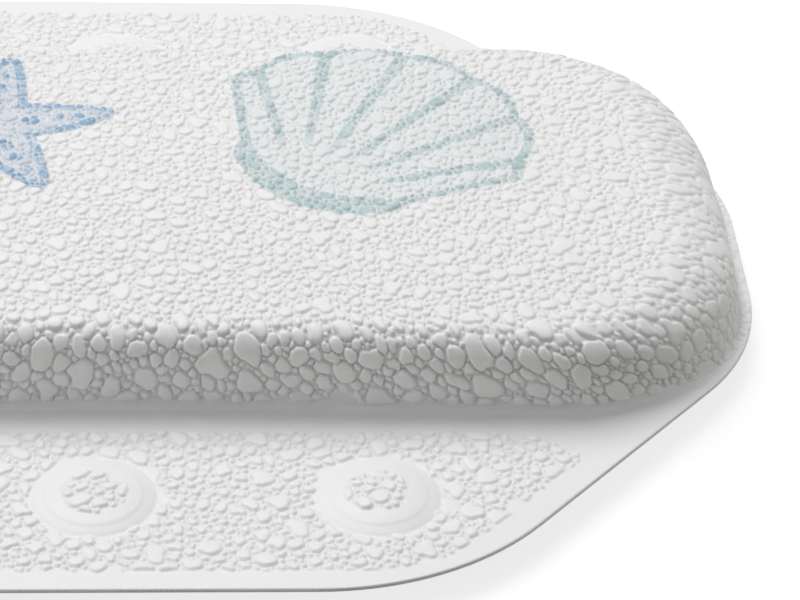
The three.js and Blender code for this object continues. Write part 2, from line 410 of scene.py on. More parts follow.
@dataclass(frozen=True)
class CushionForm:
    """The cushion as one flat sheet drawn over a form, from its crown down to the flange.

    A place on the flat sheet is given by a and b. Inside the middle rectangle it stays
    where it is, and past that it runs down a section square to the rectangle.

    Attributes:
        length: The cushion's length at its foot.
        depth: The cushion's depth at its foot.
        corner_radius: The plan radius of the four corners.
        height: The height of the front ridge above the weld.
        back_rise: How far the ridge climbs from the front side to the back.
        crown_rise: How far the middle stands above the ridge.
        corner_fall: How far the ridge drops at a front corner.
        end_lean: How far each end leans in on its way up.
        shoulder_draw: How much further it leans in just behind its middle.
        shoulder_reach: Where that ends, as a share of the way to the back.
        wall_bulge: How far the wall swells between foot and ridge.
        side_draw: How far each long side is drawn in at its middle.
        draw_fade: Over what distance the flange takes up that draw.
        ridge_radius: The rounding of the ridge on the long sides.
        end_ridge_radius: The rounding of the ridge on the ends.
        foot_fillet: The hollow rounding at the foot.
        inset: How far this surface lies inside the cover's outer face.
        floor: The height of the foot.
        weld_top: The height of the weld, which the cushion's height counts from.
    """

    floor: float
    weld_top: float
    length: float = 371 * MM
    depth: float = 151 * MM
    corner_radius: float = 53 * MM
    height: float = 26 * MM
    back_rise: float = 4 * MM
    crown_rise: float = 1.6 * MM
    corner_fall: float = 3 * MM
    end_lean: float = 12.5 * MM
    shoulder_draw: float = 3.6 * MM
    shoulder_reach: float = 0.75
    wall_bulge: float = 1.5 * MM
    side_draw: float = 2 * MM
    draw_fade: float = 26 * MM
    ridge_radius: float = 7 * MM
    end_ridge_radius: float = 12 * MM
    foot_fillet: float = 2.5 * MM
    inset: float = 0.0

    @property
    def core_x(self) -> float:
        """Half the length of the middle rectangle."""
        return self.length / 2 - self.corner_radius

    @property
    def core_y(self) -> float:
        """Half the depth of the middle rectangle."""
        return self.depth / 2 - self.corner_radius

    def section(self, dir_a: np.ndarray | float) -> FormSection:
        """Works out the sheet's section in a direction.

        Args:
            dir_a: The direction's share along the sheet's length, from -1 to 1.

        Returns:
            The section there.
        """
        rounding = self.ridge_radius + (self.end_ridge_radius - self.ridge_radius) * dir_a**2
        turn_radius = rounding - self.inset
        top_reach = self.corner_radius - rounding
        turn_end = top_reach + turn_radius * math.pi / 2
        straight = self.weld_top + self.height - rounding - self.floor - self.foot_fillet
        wall_end = turn_end + straight
        fillet_end = wall_end + self.foot_fillet * math.pi / 2
        return FormSection(rounding, turn_radius, top_reach, turn_end, wall_end, fillet_end)

    def ways(self, a: np.ndarray, b: np.ndarray) -> tuple[np.ndarray, ...]:
        """Splits places of the flat sheet into core point, direction and distance.

        Args:
            a: Places along the sheet's length.
            b: Places along the sheet's depth.

        Returns:
            X and Y of the core point, X and Y of the direction, and the distance.
        """
        core_a = np.clip(a, -self.core_x, self.core_x)
        core_b = np.clip(b, -self.core_y, self.core_y)
        way = np.hypot(a - core_a, b - core_b)
        safe = np.maximum(way, 1e-9)
        return core_a, core_b, (a - core_a) / safe, (b - core_b) / safe, way

    def formed(self, a: np.ndarray, b: np.ndarray) -> tuple[np.ndarray, np.ndarray, np.ndarray]:
        """Works out where places of the flat sheet lie once it is formed.

        Args:
            a: Places along the sheet's length.
            b: Places along the sheet's depth.

        Returns:
            X, Y and Z of each place.
        """
        core_a, core_b, dir_a, dir_b, way = self.ways(a, b)
        cut = self.section(dir_a)
        turn = np.clip((way - cut.top_reach) / cut.turn_radius, 0, math.pi / 2)
        down = np.clip((way - cut.turn_end) / (cut.wall_end - cut.turn_end), 0, 1)
        run = np.clip((way - cut.top_reach) / (cut.wall_end - cut.top_reach), 0, 1)
        fillet = max(self.foot_fillet, 1e-9)
        bend = np.clip((way - cut.wall_end) / fillet, 0, math.pi / 2)
        up_share = 1 - down
        out = np.minimum(way, cut.top_reach) + cut.turn_radius * np.sin(turn)
        out += self.wall_bulge * np.sin(math.pi * run)
        out += self.foot_fillet * (1 - np.cos(bend)) + np.maximum(way - cut.fillet_end, 0)
        x = core_a * (1 - self.end_lean * (1 - run) / self.core_x) + dir_a * out
        y = core_b + dir_b * out
        along = np.minimum(1, np.abs(x) / self.core_x)
        fade = 1 - smooth_step((way - cut.fillet_end) / self.draw_fade)
        drawn = self.side_draw * np.cos(math.pi / 2 * along) ** 2 * fade
        y -= drawn * np.clip(y / (self.depth / 2), -1, 1)
        back = y / (self.depth / 2)
        behind = np.sin(math.pi * np.clip(back / self.shoulder_reach, 0, 1))
        x -= self.shoulder_draw * core_a / self.core_x * (1 - run) * behind
        corner = np.abs(x) / (self.length / 2) * np.maximum(0, -back)
        ridge = self.weld_top + self.height + self.back_rise * (1 + back) / 2
        ridge -= self.corner_fall * np.minimum(1, 2 * corner**3)
        crown_length = self.length / 2 - self.end_lean - self.ridge_radius
        crown_depth = self.depth / 2 - self.ridge_radius
        crown_x = np.clip(1 - (x / crown_length) ** 2, 0, 1)
        crown_y = np.clip(1 - (y / crown_depth) ** 2, 0, 1)
        top = ridge - self.inset + self.crown_rise * crown_x * crown_y
        wall_top = ridge - cut.rounding
        wall_low = self.floor + self.foot_fillet
        z = np.where(
            down > 0,
            wall_low + (wall_top - wall_low) * up_share - self.foot_fillet * np.sin(bend),
            top - cut.turn_radius * (1 - np.cos(turn)),
        )
        return x, y, z


def inner_form(layers: Layers, inset: float) -> CushionForm:
    """A surface inside the cover, from the crown straight down to the base sheet."""
    return CushionForm(floor=layers.base_top, weld_top=layers.weld_top, inset=inset,
                       foot_fillet=0.0)


@dataclass(frozen=True)
class StoneSize:
    """One size of pebble in the grain.

    Attributes:
        least: The smallest radius.
        most: The greatest radius.
        share: The share of the grained sheet that these pebbles fill at most.
    """

    least: float
    most: float
    share: float


@dataclass(frozen=True)
class PebbleGrain:
    """Embossed pebbles: round and lobed ones of many sizes on a flat ground, with beads between.

    Attributes:
        sizes: The sizes of pebble, the largest first.
        gap: The least gap between two pebbles.
        lobe_sides: Where a pebble's lobes may lie round its middle, in radians.
        lobe_scatter: How far they usually stray from there, in radians.
        lobe_places: How far out a lobe lies, least and most, as shares of the pebble's radius.
        lobe_sizes: How large it would be, least and most, as shares of that radius.
        lobe_least: The smallest lobe that room is found for, as a share of that radius.
        merge: How far two lobes flow together, as a share of the pebble's radius.
        spread: How far from its middle its lobes can reach, as a ratio of its radius.
        reach: How far from its outline a pebble can matter.
        edge_share: The width of a pebble's rounded edge, as a share of its radius.
        edge_least: The narrowest rounded edge.
        edge_most: The widest rounded edge.
        edge_power: How steeply that edge climbs at first.
        crest_share: The share of a pebble's height that lies in its gently domed top.
        crest_reach: How far in from its outline that top climbs, as a share of its radius.
        warp: How far the outlines are bent out of true.
        warp_length: The wavelength of that bending.
        warp_waves: How many waves it is summed from.
        tilt: The usual slope of a pebble's top.
        tilt_depth: The depth of grain on which that slope is laid.
        levels: How tall the pebbles stand, least and most.
        small_level: How tall the smallest stand, as a share of the large ones' height.
        full_radius: The radius from which a pebble has its full height.
        least_wanted: The least wanted grain where a pebble may lie.
        level_gain: How quickly pebbles grow to their height where grain begins.
        cut_gain: How quickly the grain is let through there.
        seed: Where the random draws start.
    """

    sizes: tuple[StoneSize, ...] = (
        StoneSize(1.75 * MM, 2.5 * MM, 0.25),
        StoneSize(1.25 * MM, 1.75 * MM, 0.24),
        StoneSize(0.8 * MM, 1.25 * MM, 0.17),
        StoneSize(0.5 * MM, 0.8 * MM, 0.16),
        StoneSize(0.32 * MM, 0.48 * MM, 0.1),
    )
    gap: float = 0.24 * MM
    lobe_sides: tuple[float, ...] = (0.0, math.pi, 1.6, 0.9)
    lobe_scatter: float = 0.4
    lobe_places: tuple[float, float] = (0.55, 1.05)
    lobe_sizes: tuple[float, float] = (0.6, 0.98)
    lobe_least: float = 0.5
    merge: float = 0.42
    spread: float = 2.3
    reach: float = 2.0 * MM
    edge_share: float = 0.22
    edge_least: float = 0.3 * MM
    edge_most: float = 0.48 * MM
    edge_power: float = 0.8
    crest_share: float = 0.22
    crest_reach: float = 0.9
    warp: float = 0.11 * MM
    warp_length: float = 4.5 * MM
    warp_waves: int = 14
    tilt: float = 0.012
    tilt_depth: float = 0.6 * MM
    levels: tuple[float, float] = (0.82, 1.05)
    small_level: float = 0.55
    full_radius: float = 1.8 * MM
    least_wanted: float = 0.02
    level_gain: float = 1.4
    cut_gain: float = 2.5
    seed: int = 7

    def lobes(self, radius: float, random: np.random.Generator) -> list[tuple[float, float, float]]:
        """Draws the lobes that a pebble may have besides its middle.

        Args:
            radius: The pebble's radius.
            random: The source of the draws.

        Returns:
            The offset of each lobe along the sheet's length and depth, and its radius.
        """
        turn = random.uniform(0, 2 * math.pi)
        drawn = []
        for side in self.lobe_sides[: random.integers(0, len(self.lobe_sides) + 1)]:
            way = turn + side + random.normal(0, self.lobe_scatter)
            far = radius * random.uniform(*self.lobe_places)
            lobe = radius * random.uniform(*self.lobe_sizes)
            drawn.append((far * math.cos(way), far * math.sin(way), lobe))
        return drawn

    def press(self, a: np.ndarray, b: np.ndarray, step: float, stretch: float,
              wanted: np.ndarray, coarse: np.ndarray,
              swell: np.ndarray) -> tuple[np.ndarray, np.ndarray]:
        """Sets the pebbles on the points of a sheet.

        Args:
            a: Places along the sheet's length before it was stretched, one row for each b.
            b: Places along the sheet's depth before it was stretched.
            step: The distance between points once it is stretched.
            stretch: How far it was stretched at most.
            wanted: How much grain is wanted, from 0 to 1.
            coarse: How much larger than usual the pebbles are, as a ratio.
            swell: How far the pebbles swell towards each other.

        Returns:
            The height of the relief from 0 to about 1, and how deep between the pebbles
            each place lies, from 0 to 1.
        """
        random = np.random.default_rng(self.seed)
        bent_a = a + self.warp * ripples(a, b, self.warp_length, self.warp_waves, random)
        bent_b = b + self.warp * ripples(a, b, self.warp_length, self.warp_waves, random)
        rows_count, columns_count = a.shape
        near = np.full(a.shape, 1.0)
        second = np.full(a.shape, 1.0)
        stone = np.zeros(a.shape, np.int32)
        near_flat, allowed = near.ravel(), wanted.ravel() > self.least_wanted
        coarse_flat = coarse.ravel()
        # The first entries stand for the ground, which no pebble covers
        centres, radii, tilts, levels = [(0.0, 0.0)], [1.0], [(0.0, 0.0)], [0.0]
        sheet = allowed.sum() * step * step
        for size in self.sizes:
            free = np.flatnonzero((near_flat > size.least * coarse_flat + self.gap) & allowed)
            room_left = size.share * sheet
            for spot in random.permutation(free):
                room = near_flat[spot] - self.gap
                if room < size.least * coarse_flat[spot]:
                    continue
                radius = min(random.uniform(size.least, size.most) * coarse_flat[spot], room)
                row, column = divmod(int(spot), columns_count)
                half = int((radius * self.spread + self.reach) * stretch / step) + 1
                rows = slice(max(row - half, 0), row + half + 1)
                columns = slice(max(column - half, 0), column + half + 1)
                away_a = bent_a[rows, columns] - bent_a[row, column]
                away_b = bent_b[rows, columns] - bent_b[row, column]
                far = np.hypot(away_a, away_b) - radius
                for lobe_a, lobe_b, wish in self.lobes(radius, random):
                    at_row = min(max(row + round(lobe_b / step), 0), rows_count - 1)
                    at_column = min(max(column + round(lobe_a / step), 0), columns_count - 1)
                    lobe = min(wish, near[at_row, at_column] - self.gap)
                    if lobe < self.lobe_least * radius:
                        continue
                    lobe_far = np.hypot(away_a - lobe_a, away_b - lobe_b) - lobe
                    blend = np.maximum(1 - np.abs(far - lobe_far) / (self.merge * radius), 0)
                    far = np.minimum(far, lobe_far) - blend * blend * self.merge * radius / 4
                near_here, second_here = near[rows, columns], second[rows, columns]
                wins = far < near_here
                second[rows, columns] = np.where(wins, near_here, np.minimum(second_here, far))
                stone[rows, columns][wins] = len(radii)
                near[rows, columns] = np.minimum(near_here, far)
                centres.append((bent_a[row, column], bent_b[row, column]))
                radii.append(radius)
                tilts.append(random.normal(0, self.tilt, 2))
                level = random.uniform(*self.levels)
                levels.append(level * smooth_step(wanted[row, column] * self.level_gain))
                room_left -= np.count_nonzero(far < 0) * step * step
                if room_left < 0:
                    break
        LOG.info("grain of %d pebbles", len(radii) - 1)
        radius_here = np.array(radii)[stone]
        centre_here = np.array(centres)[stone]
        lean = np.array(tilts)[stone]
        edge = np.minimum((second - near) / 2, swell - near)
        width = np.clip(self.edge_share * radius_here, self.edge_least, self.edge_most)
        climb = np.clip(edge / width, 0, 1)
        crest = np.clip(-near / (self.crest_reach * radius_here), 0, 1)
        profile = (1 - self.crest_share) * smooth_step(climb) ** self.edge_power
        profile += self.crest_share * crest * (2 - crest)
        full = smooth_step(radius_here / self.full_radius)
        level = np.array(levels)[stone] * (self.small_level + (1 - self.small_level) * full)
        slope = lean[..., 0] * (bent_a - centre_here[..., 0])
        slope += lean[..., 1] * (bent_b - centre_here[..., 1])
        let_through = smooth_step(wanted * self.cut_gain)
        return profile * (level + slope / self.tilt_depth) * let_through, (1 - climb) * let_through


@dataclass(frozen=True)
class ShellPrint:
    """A textbook scallop, drawn in soft ink on the crown.

    Attributes:
        hinge_x: X of the hinge.
        hinge_y: Y of the hinge.
        axis_turn: The turn of the middle rib from +X, in radians.
        tall: The way from the hinge to the far margin.
        wide: The width across the ribs.
        margin_centre: The way from the hinge to the middle of the rounded margin.
        ribs: How many ribs fan out.
        fan: The angle between the outermost ribs, in radians.
        rib_width: The width of a rib's line at the margin.
        line_width: The width of the outline.
        hinge_width: The width that it grows to along the hinge.
        hinge_run: How far the hinge reaches to each side.
        hinge_rise: How far the hinge's ends lie above its middle.
        scallop: How far the margin swells between two ribs.
        ink: The colour of the lines.
        wash: The colour of the faint fill.
        wash_share: How much of the vinyl the fill covers.
        line_blur: The width over which the outline ends.
        rib_blur: The width over which a rib's line ends.
        rib_taper: The width of a rib's line near the hinge, as a share of that at the margin.
        rib_start: Where the ribs begin, as a share of the way to the margin.
        rib_fade: Over what share of that way they do so.
        wash_blur: The width over which the fill ends.
        hinge_slope: What turns a way up from the hinge's arc into one square to it.
    """

    hinge_x: float = 56.5 * MM
    hinge_y: float = -10 * MM
    axis_turn: float = math.radians(57.5)
    tall: float = 84 * MM
    wide: float = 92 * MM
    margin_centre: float = 40 * MM
    ribs: int = 6
    fan: float = math.radians(83)
    rib_width: float = 3.8 * MM
    line_width: float = 2.6 * MM
    hinge_width: float = 7.5 * MM
    hinge_run: float = 22 * MM
    hinge_rise: float = 8 * MM
    scallop: float = 2.4 * MM
    ink: str = "#9EBBBF"
    wash: str = "#AFCBCF"
    wash_share: float = 0.28
    line_blur: float = 0.6 * MM
    rib_blur: float = 0.7 * MM
    rib_taper: float = 0.3
    rib_start: float = 0.22
    rib_fade: float = 0.18
    wash_blur: float = 2 * MM
    hinge_slope: float = 0.85

    def cover(self, x: np.ndarray, y: np.ndarray) -> tuple[np.ndarray, np.ndarray]:
        """Works out how much ink lies at places seen from above.

        Args:
            x: Places along X.
            y: Places along Y.

        Returns:
            How much of the line ink and of the fill lies there, from 0 to 1.
        """
        c, s = math.cos(self.axis_turn), math.sin(self.axis_turn)
        along = (x - self.hinge_x) * c + (y - self.hinge_y) * s
        across = (y - self.hinge_y) * c - (x - self.hinge_x) * s
        turn = np.arctan2(across, along)
        reach = np.hypot(along, across)
        rib_phase = (turn / self.fan + 0.5) * (self.ribs - 1)
        off_rib = np.abs(rib_phase - np.rint(rib_phase))
        in_fan = (rib_phase > -0.5) & (rib_phase < self.ribs - 0.5)
        half_tall, half_wide = self.tall - self.margin_centre, self.wide / 2
        middle = np.hypot((along - self.margin_centre) / half_tall, across / half_wide)
        swell = self.scallop * np.sin(math.pi * np.clip(off_rib, 0, 0.5)) * in_fan
        outside = (middle - 1) * min(half_tall, half_wide) - swell
        # Straight sides run from the hinge's ends to the widest place, and a shallow arc joins them
        side = np.array([self.margin_centre - self.hinge_rise, half_wide - self.hinge_run])
        side /= np.linalg.norm(side)
        beside = (np.abs(across) - self.hinge_run) * side[0] - (along - self.hinge_rise) * side[1]
        below = self.hinge_slope * (self.hinge_rise * (across / self.hinge_run) ** 2 - along)
        outside = np.maximum(outside, np.maximum(beside, below))
        at_hinge = smooth_step((2 * self.hinge_rise - along) / self.hinge_rise)
        half_line = (self.line_width + (self.hinge_width - self.line_width) * at_hinge) / 2
        line = 1 - smooth_step((np.abs(outside) - half_line) / self.line_blur)
        rib_gap = off_rib * self.fan / (self.ribs - 1) * reach
        grown = np.clip(reach / self.tall, 0, 1)
        rib_half = self.rib_width / 2 * (self.rib_taper + (1 - self.rib_taper) * grown)
        rib = 1 - smooth_step((rib_gap - rib_half) / self.rib_blur)
        rib *= in_fan * (outside < 0) * smooth_step((grown - self.rib_start) / self.rib_fade)
        fill = self.wash_share * smooth_step(-outside / self.wash_blur)
        return np.maximum(line, rib), fill


@dataclass(frozen=True)
class StarPrint:
    """A textbook starfish with a row of dots on each arm.

    Attributes:
        centre_x: X of the middle.
        centre_y: Y of the middle.
        arm: The length of an arm.
        arms: How many arms there are.
        first_turn: The turn of the first arm from +X, in radians.
        base_width: Half an arm's width at the middle.
        line_width: The width of the outline.
        dot_place_shares: Where the dots lie, as shares of an arm.
        dot_radius: The dots' usual radius.
        dot_start: The share of it that a dot in the star's middle would have.
        dot_shrink: How much of that share is lost on the way to the tip.
        dot_narrow: How much narrower than long a dot is, as a ratio.
        ink: The colour of the lines and dots.
        wash_share: How much of the vinyl the fill covers.
        arm_power: How an arm narrows to its tip: below 1, it stays broad for long.
        side_slope: What turns a way across an arm into one square to its side.
        line_blur: The width over which the outline ends.
        dot_blur: The width over which a dot ends.
        wash_blur: The width over which the fill ends.
    """

    centre_x: float = -34.7 * MM
    centre_y: float = 26.4 * MM
    arm: float = 38 * MM
    arms: int = 5
    first_turn: float = math.radians(9.7)
    base_width: float = 10.5 * MM
    line_width: float = 2.1 * MM
    dot_place_shares: tuple[float, ...] = (0.34, 0.54, 0.72)
    dot_radius: float = 2.7 * MM
    dot_start: float = 1.15
    dot_shrink: float = 0.75
    dot_narrow: float = 1.15
    ink: str = "#5D94BF"
    wash_share: float = 0.46
    arm_power: float = 0.62
    side_slope: float = 0.85
    line_blur: float = 0.6 * MM
    dot_blur: float = 0.8 * MM
    wash_blur: float = 1.5 * MM

    def cover(self, x: np.ndarray, y: np.ndarray) -> tuple[np.ndarray, np.ndarray]:
        """Works out how much ink lies at places seen from above.

        Args:
            x: Places along X.
            y: Places along Y.

        Returns:
            How much of the line ink and of the fill lies there, from 0 to 1.
        """
        turn = np.arctan2(y - self.centre_y, x - self.centre_x) - self.first_turn
        reach = np.hypot(x - self.centre_x, y - self.centre_y)
        pitch = 2 * math.pi / self.arms
        off = turn - np.rint(turn / pitch) * pitch
        along, across = reach * np.cos(off), reach * np.sin(off)
        left = np.clip(1 - along / self.arm, 0, 1)
        half = self.base_width * left**self.arm_power
        past_tip = np.hypot(along - self.arm, across)
        beside = np.minimum((np.abs(across) - half) * self.side_slope, past_tip)
        outside = np.where(along < self.arm, beside, past_tip)
        line = 1 - smooth_step((np.abs(outside) - self.line_width / 2) / self.line_blur)
        line *= along > 0
        for place in self.dot_place_shares:
            radius = self.dot_radius * (self.dot_start - self.dot_shrink * place)
            gap = np.hypot(along - place * self.arm, across * self.dot_narrow) - radius
            line = np.maximum(line, 1 - smooth_step(gap / self.dot_blur))
        fill = self.wash_share * smooth_step(-outside / self.wash_blur)
        return line, fill


@dataclass(frozen=True)
class FoamedVinyl:
    """Foamed PVC leather, embossed and vacuum-formed: matt-satin white with fine pores.

    Attributes:
        colour: The open surface.
        thin_colour: The open surface where the skin over the foam is thinner.
        groove_shade_colour: Painted shade in the grooves, a little greyer than the open surface,
            standing in for the light that the pebbles keep out of them.
        groove_shade_share: How far a groove takes on that painted shade.
        pore_size: The pores, coarser than the real 0.2 mm so that they show.
        cloud_size: The size of the faint unevenness in the white.
    """

    colour: str = "#F0F0F0"
    thin_colour: str = "#EBEBEA"
    groove_shade_colour: str = "#D6D6D4"
    groove_shade_share: float = 0.32
    pore_size: float = 0.7 * MM
    cloud_size: float = 35 * MM

    def material(self) -> bpy.types.Material:
        """Builds the material."""
        made, tree, place = start_material("foamed_pvc_leather_embossed_pebble")
        grain = add_node(tree, "ShaderNodeAttribute", {"attribute_name": "groove"})
        ink = add_node(tree, "ShaderNodeAttribute", {"attribute_name": "print"})
        cloud = add_node(tree, "ShaderNodeTexNoise", {}, {
            "Vector": place, "Scale": 1 / self.cloud_size, "Detail": 2.0, "Roughness": 0.5})
        pores = add_node(tree, "ShaderNodeTexNoise", {}, {
            "Vector": place, "Scale": 1 / self.pore_size, "Detail": 3.0, "Roughness": 0.6})
        # The white is not quite even: the skin over the foam varies in thickness
        skin = add_node(tree, "ShaderNodeMix", {"data_type": "RGBA"}, {
            "Factor": cloud.outputs["Fac"], 6: linear(self.colour), 7: linear(self.thin_colour)})
        # Painted shade: each groove is greyed towards groove_shade_colour, standing in for the
        # light that the pebbles around it keep out
        depth = add_node(tree, "ShaderNodeMath", {"operation": "MULTIPLY"}, {
            0: grain.outputs["Fac"], 1: self.groove_shade_share})
        body = add_node(tree, "ShaderNodeMix", {"data_type": "RGBA"}, {
            "Factor": depth.outputs[0], 6: skin.outputs[2], 7: linear(self.groove_shade_colour)})
        # Ink sits on the crests and skips pores and grooves, so a line breaks into speckles
        speckle = add_node(tree, "ShaderNodeMapRange", {}, {
            "Value": pores.outputs["Fac"], "From Min": 0.35, "From Max": 0.6,
            "To Min": 0.65, "To Max": 1.0})
        inked = add_node(tree, "ShaderNodeMath", {"operation": "MULTIPLY"}, {
            0: ink.outputs["Alpha"], 1: speckle.outputs["Result"]})
        printed = add_node(tree, "ShaderNodeMix", {"data_type": "RGBA"}, {
            "Factor": inked.outputs[0], 6: body.outputs[2], 7: ink.outputs["Color"]})
        gloss = add_node(tree, "ShaderNodeMapRange", {}, {
            "Value": pores.outputs["Fac"], "To Min": 0.4, "To Max": 0.55})
        bump = add_node(tree, "ShaderNodeBump", {}, {
            "Height": pores.outputs["Fac"], "Strength": 0.25, "Distance": 0.12 * MM})
        fill_inputs(tree, tree.nodes["Principled BSDF"], {
            "Base Color": printed.outputs[2], "Roughness": gloss.outputs["Result"],
            "Normal": bump.outputs["Normal"], "IOR": 1.5})
        return made


@dataclass(frozen=True)
class CalenderedVinyl:
    """Calendered PVC sheet: smooth and satin, with a faint haze from the rollers.

    Attributes:
        colour: The clear surface.
        haze_colour: The surface where it is hazy.
        haze_size: The size of the haze.
    """

    colour: str = "#E6E8E7"
    haze_colour: str = "#DEE1E0"
    haze_size: float = 6 * MM

    def material(self) -> bpy.types.Material:
        """Builds the material."""
        made, tree, place = start_material("calendered_pvc_sheet")
        haze = add_node(tree, "ShaderNodeTexNoise", {}, {
            "Vector": place, "Scale": 1 / self.haze_size, "Detail": 4.0})
        body = add_node(tree, "ShaderNodeMix", {"data_type": "RGBA"}, {
            "Factor": haze.outputs["Fac"], 6: linear(self.colour), 7: linear(self.haze_colour)})
        gloss = add_node(tree, "ShaderNodeMapRange", {}, {
            "Value": haze.outputs["Fac"], "To Min": 0.36, "To Max": 0.5})
        bump = add_node(tree, "ShaderNodeBump", {}, {
            "Height": haze.outputs["Fac"], "Strength": 0.12, "Distance": 0.2 * MM})
        fill_inputs(tree, tree.nodes["Principled BSDF"], {
            "Base Color": body.outputs[2], "Roughness": gloss.outputs["Result"],
            "Normal": bump.outputs["Normal"], "IOR": 1.53})
        return made


@dataclass(frozen=True)
class CutFoam:
    """Open-cell polyurethane foam, cut from a block: matt cream with visible cells.

    Attributes:
        colour: The middle of a cell.
        cell_colour: The shade between cells.
        cell_size: The size of a cell.
    """

    colour: str = "#EFE9D6"
    cell_colour: str = "#CFC6AC"
    cell_size: float = 1.2 * MM

    def material(self) -> bpy.types.Material:
        """Builds the material."""
        made, tree, place = start_material("open_cell_polyurethane_foam_cut")
        cells = add_node(tree, "ShaderNodeTexVoronoi", {}, {
            "Vector": place, "Scale": 1 / self.cell_size})
        body = add_node(tree, "ShaderNodeMix", {"data_type": "RGBA"}, {
            "Factor": cells.outputs["Distance"], 6: linear(self.colour),
            7: linear(self.cell_colour)})
        bump = add_node(tree, "ShaderNodeBump", {}, {
            "Height": cells.outputs["Distance"], "Strength": 0.6, "Distance": 0.4 * MM})
        fill_inputs(tree, tree.nodes["Principled BSDF"], {
            "Base Color": body.outputs[2], "Normal": bump.outputs["Normal"],
            "Roughness": 0.95, "IOR": 1.45})
        return made


@dataclass(frozen=True)
class MouldedCupVinyl:
    """Soft PVC, injection-moulded: glossy and cloudy clear, with milky swirls.

    Attributes:
        colour: The clear vinyl.
        milky_colour: The vinyl in a milky swirl.
        cloud_size: The size of the swirls.
    """

    colour: str = "#DCE5E5"
    milky_colour: str = "#E8EEEE"
    cloud_size: float = 4 * MM

    def material(self) -> bpy.types.Material:
        """Builds the material."""
        made, tree, place = start_material("soft_pvc_injection_moulded_cloudy")
        cloud = add_node(tree, "ShaderNodeTexNoise", {}, {
            "Vector": place, "Scale": 1 / self.cloud_size, "Detail": 2.0})
        body = add_node(tree, "ShaderNodeMix", {"data_type": "RGBA"}, {
            "Factor": cloud.outputs["Fac"], 6: linear(self.colour), 7: linear(self.milky_colour)})
        gloss = add_node(tree, "ShaderNodeMapRange", {}, {
            "Value": cloud.outputs["Fac"], "To Min": 0.14, "To Max": 0.26})
        fill_inputs(tree, tree.nodes["Principled BSDF"], {
            "Base Color": body.outputs[2], "Roughness": gloss.outputs["Result"],
            "IOR": 1.53, "Transmission Weight": 0.45})
        return made


@cache
def cup_places() -> dict[tuple[Row, Column], Vector]:
    """Finds the middle of each cup's rim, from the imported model."""
    places = {}
    for row in Row:
        for column in Column:
            low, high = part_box(f"suction_cup_{row.name.lower()}_{column.name.lower()}")
            places[row, column] = Vector(((low.x + high.x) / 2, (low.y + high.y) / 2, low.z))
    return places


def mesh_from(bm: bmesh.types.BMesh, name: str) -> bpy.types.Mesh:
    """Turns a bmesh into a mesh and frees it."""
    mesh = bpy.data.meshes.new(name)
    bm.to_mesh(mesh)
    bm.free()
    return mesh


def add_object(name: str, data: bpy.types.ID) -> bpy.types.Object:
    """Adds an object with its data to the scene."""
    made = bpy.data.objects.new(name, data)
    bpy.context.scene.collection.objects.link(made)
    return made


def piece_from(bm: bmesh.types.BMesh, name: str, material: bpy.types.Material,
               body: str, nodes: list[str]) -> bpy.types.Object:
    """Turns a bmesh into a dressed piece that rides on its body and stands for its nodes.

    Args:
        bm: The finished mesh, which is freed.
        name: The piece's name.
        material: Its material.
        body: The body that it rides on.
        nodes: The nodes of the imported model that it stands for.

    Returns:
        The new piece.
    """
    mesh = mesh_from(bm, name)
    mesh.shade_smooth()
    mesh.materials.append(material)
    piece = add_object(name, mesh)
    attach(piece, body)
    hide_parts(*nodes)
    LOG.info("%s: %d faces on %s", name, len(mesh.polygons), body)
    return piece


def flat_grid(step: float, half_a: float,
              half_b: float) -> tuple[bmesh.types.BMesh, np.ndarray, np.ndarray]:
    """Lays out a flat sheet of square faces.

    Args:
        step: The side of a face.
        half_a: Half the sheet's length, at least.
        half_b: Half the sheet's depth, at least.

    Returns:
        The sheet, and a and b of its points, one row for each b.
    """
    columns, rows = 2 * math.ceil(half_a / step), 2 * math.ceil(half_b / step)
    scale = Matrix.Diagonal((columns * step, rows * step, 1, 1))
    bm = bmesh.new()
    bmesh.ops.create_grid(bm, x_segments=columns, y_segments=rows, size=0.5, matrix=scale)
    a, b = np.meshgrid((np.arange(columns + 1) - columns / 2) * step,
                       (np.arange(rows + 1) - rows / 2) * step)
    return bm, a, b


def keep_inside(bm: bmesh.types.BMesh, outside: np.ndarray, margin: float) -> None:
    """Deletes what lies outside an outline by more than a margin.

    Args:
        bm: The sheet, with its points still in the order in which they were made.
        outside: How far each point lies outside the outline.
        margin: How far outside a point may lie and stay.
    """
    gone = [vert for vert, far in zip(bm.verts, outside.ravel() > margin) if far]
    bmesh.ops.delete(bm, geom=gone, context="VERTS")
    loose = [vert for vert in bm.verts if not vert.link_faces]
    bmesh.ops.delete(bm, geom=loose, context="VERTS")


def rim_edges(bm: bmesh.types.BMesh) -> list[bmesh.types.BMEdge]:
    """Lists the edges with a face on one side only."""
    return [edge for edge in bm.edges if edge.is_boundary]


def extrude_rim(bm: bmesh.types.BMesh, edges: list[bmesh.types.BMEdge], height: float,
                outline: RoundedOutline | None = None) -> list[bmesh.types.BMEdge]:
    """Extrudes a rim to a height, and onto an outline where one is given.

    Args:
        bm: The sheet.
        edges: The rim.
        height: The height of the new rim.
        outline: What the new rim follows, seen from above.

    Returns:
        The new rim.
    """
    made = bmesh.ops.extrude_edge_only(bm, edges=edges)["geom"]
    verts = [vert for vert in made if isinstance(vert, bmesh.types.BMVert)]
    places = np.array([vert.co for vert in verts])
    if outline:
        outside, out_x, out_y = outline.distance(places[:, 0], places[:, 1])
        places[:, 0] -= outside * out_x
        places[:, 1] -= outside * out_y
    for vert, (x, y, _) in zip(verts, places.tolist()):
        vert.co = (x, y, height)
    return [edge for edge in made if isinstance(edge, bmesh.types.BMEdge) and edge.is_boundary]


def add_loop(bm: bmesh.types.BMesh, points: np.ndarray, height: float) -> list[bmesh.types.BMEdge]:
    """Adds a closed loop of edges at one height."""
    verts = [bm.verts.new((x, y, height)) for x, y in points]
    return [bm.edges.new((one, two)) for one, two in zip(verts, verts[1:] + verts[:1])]


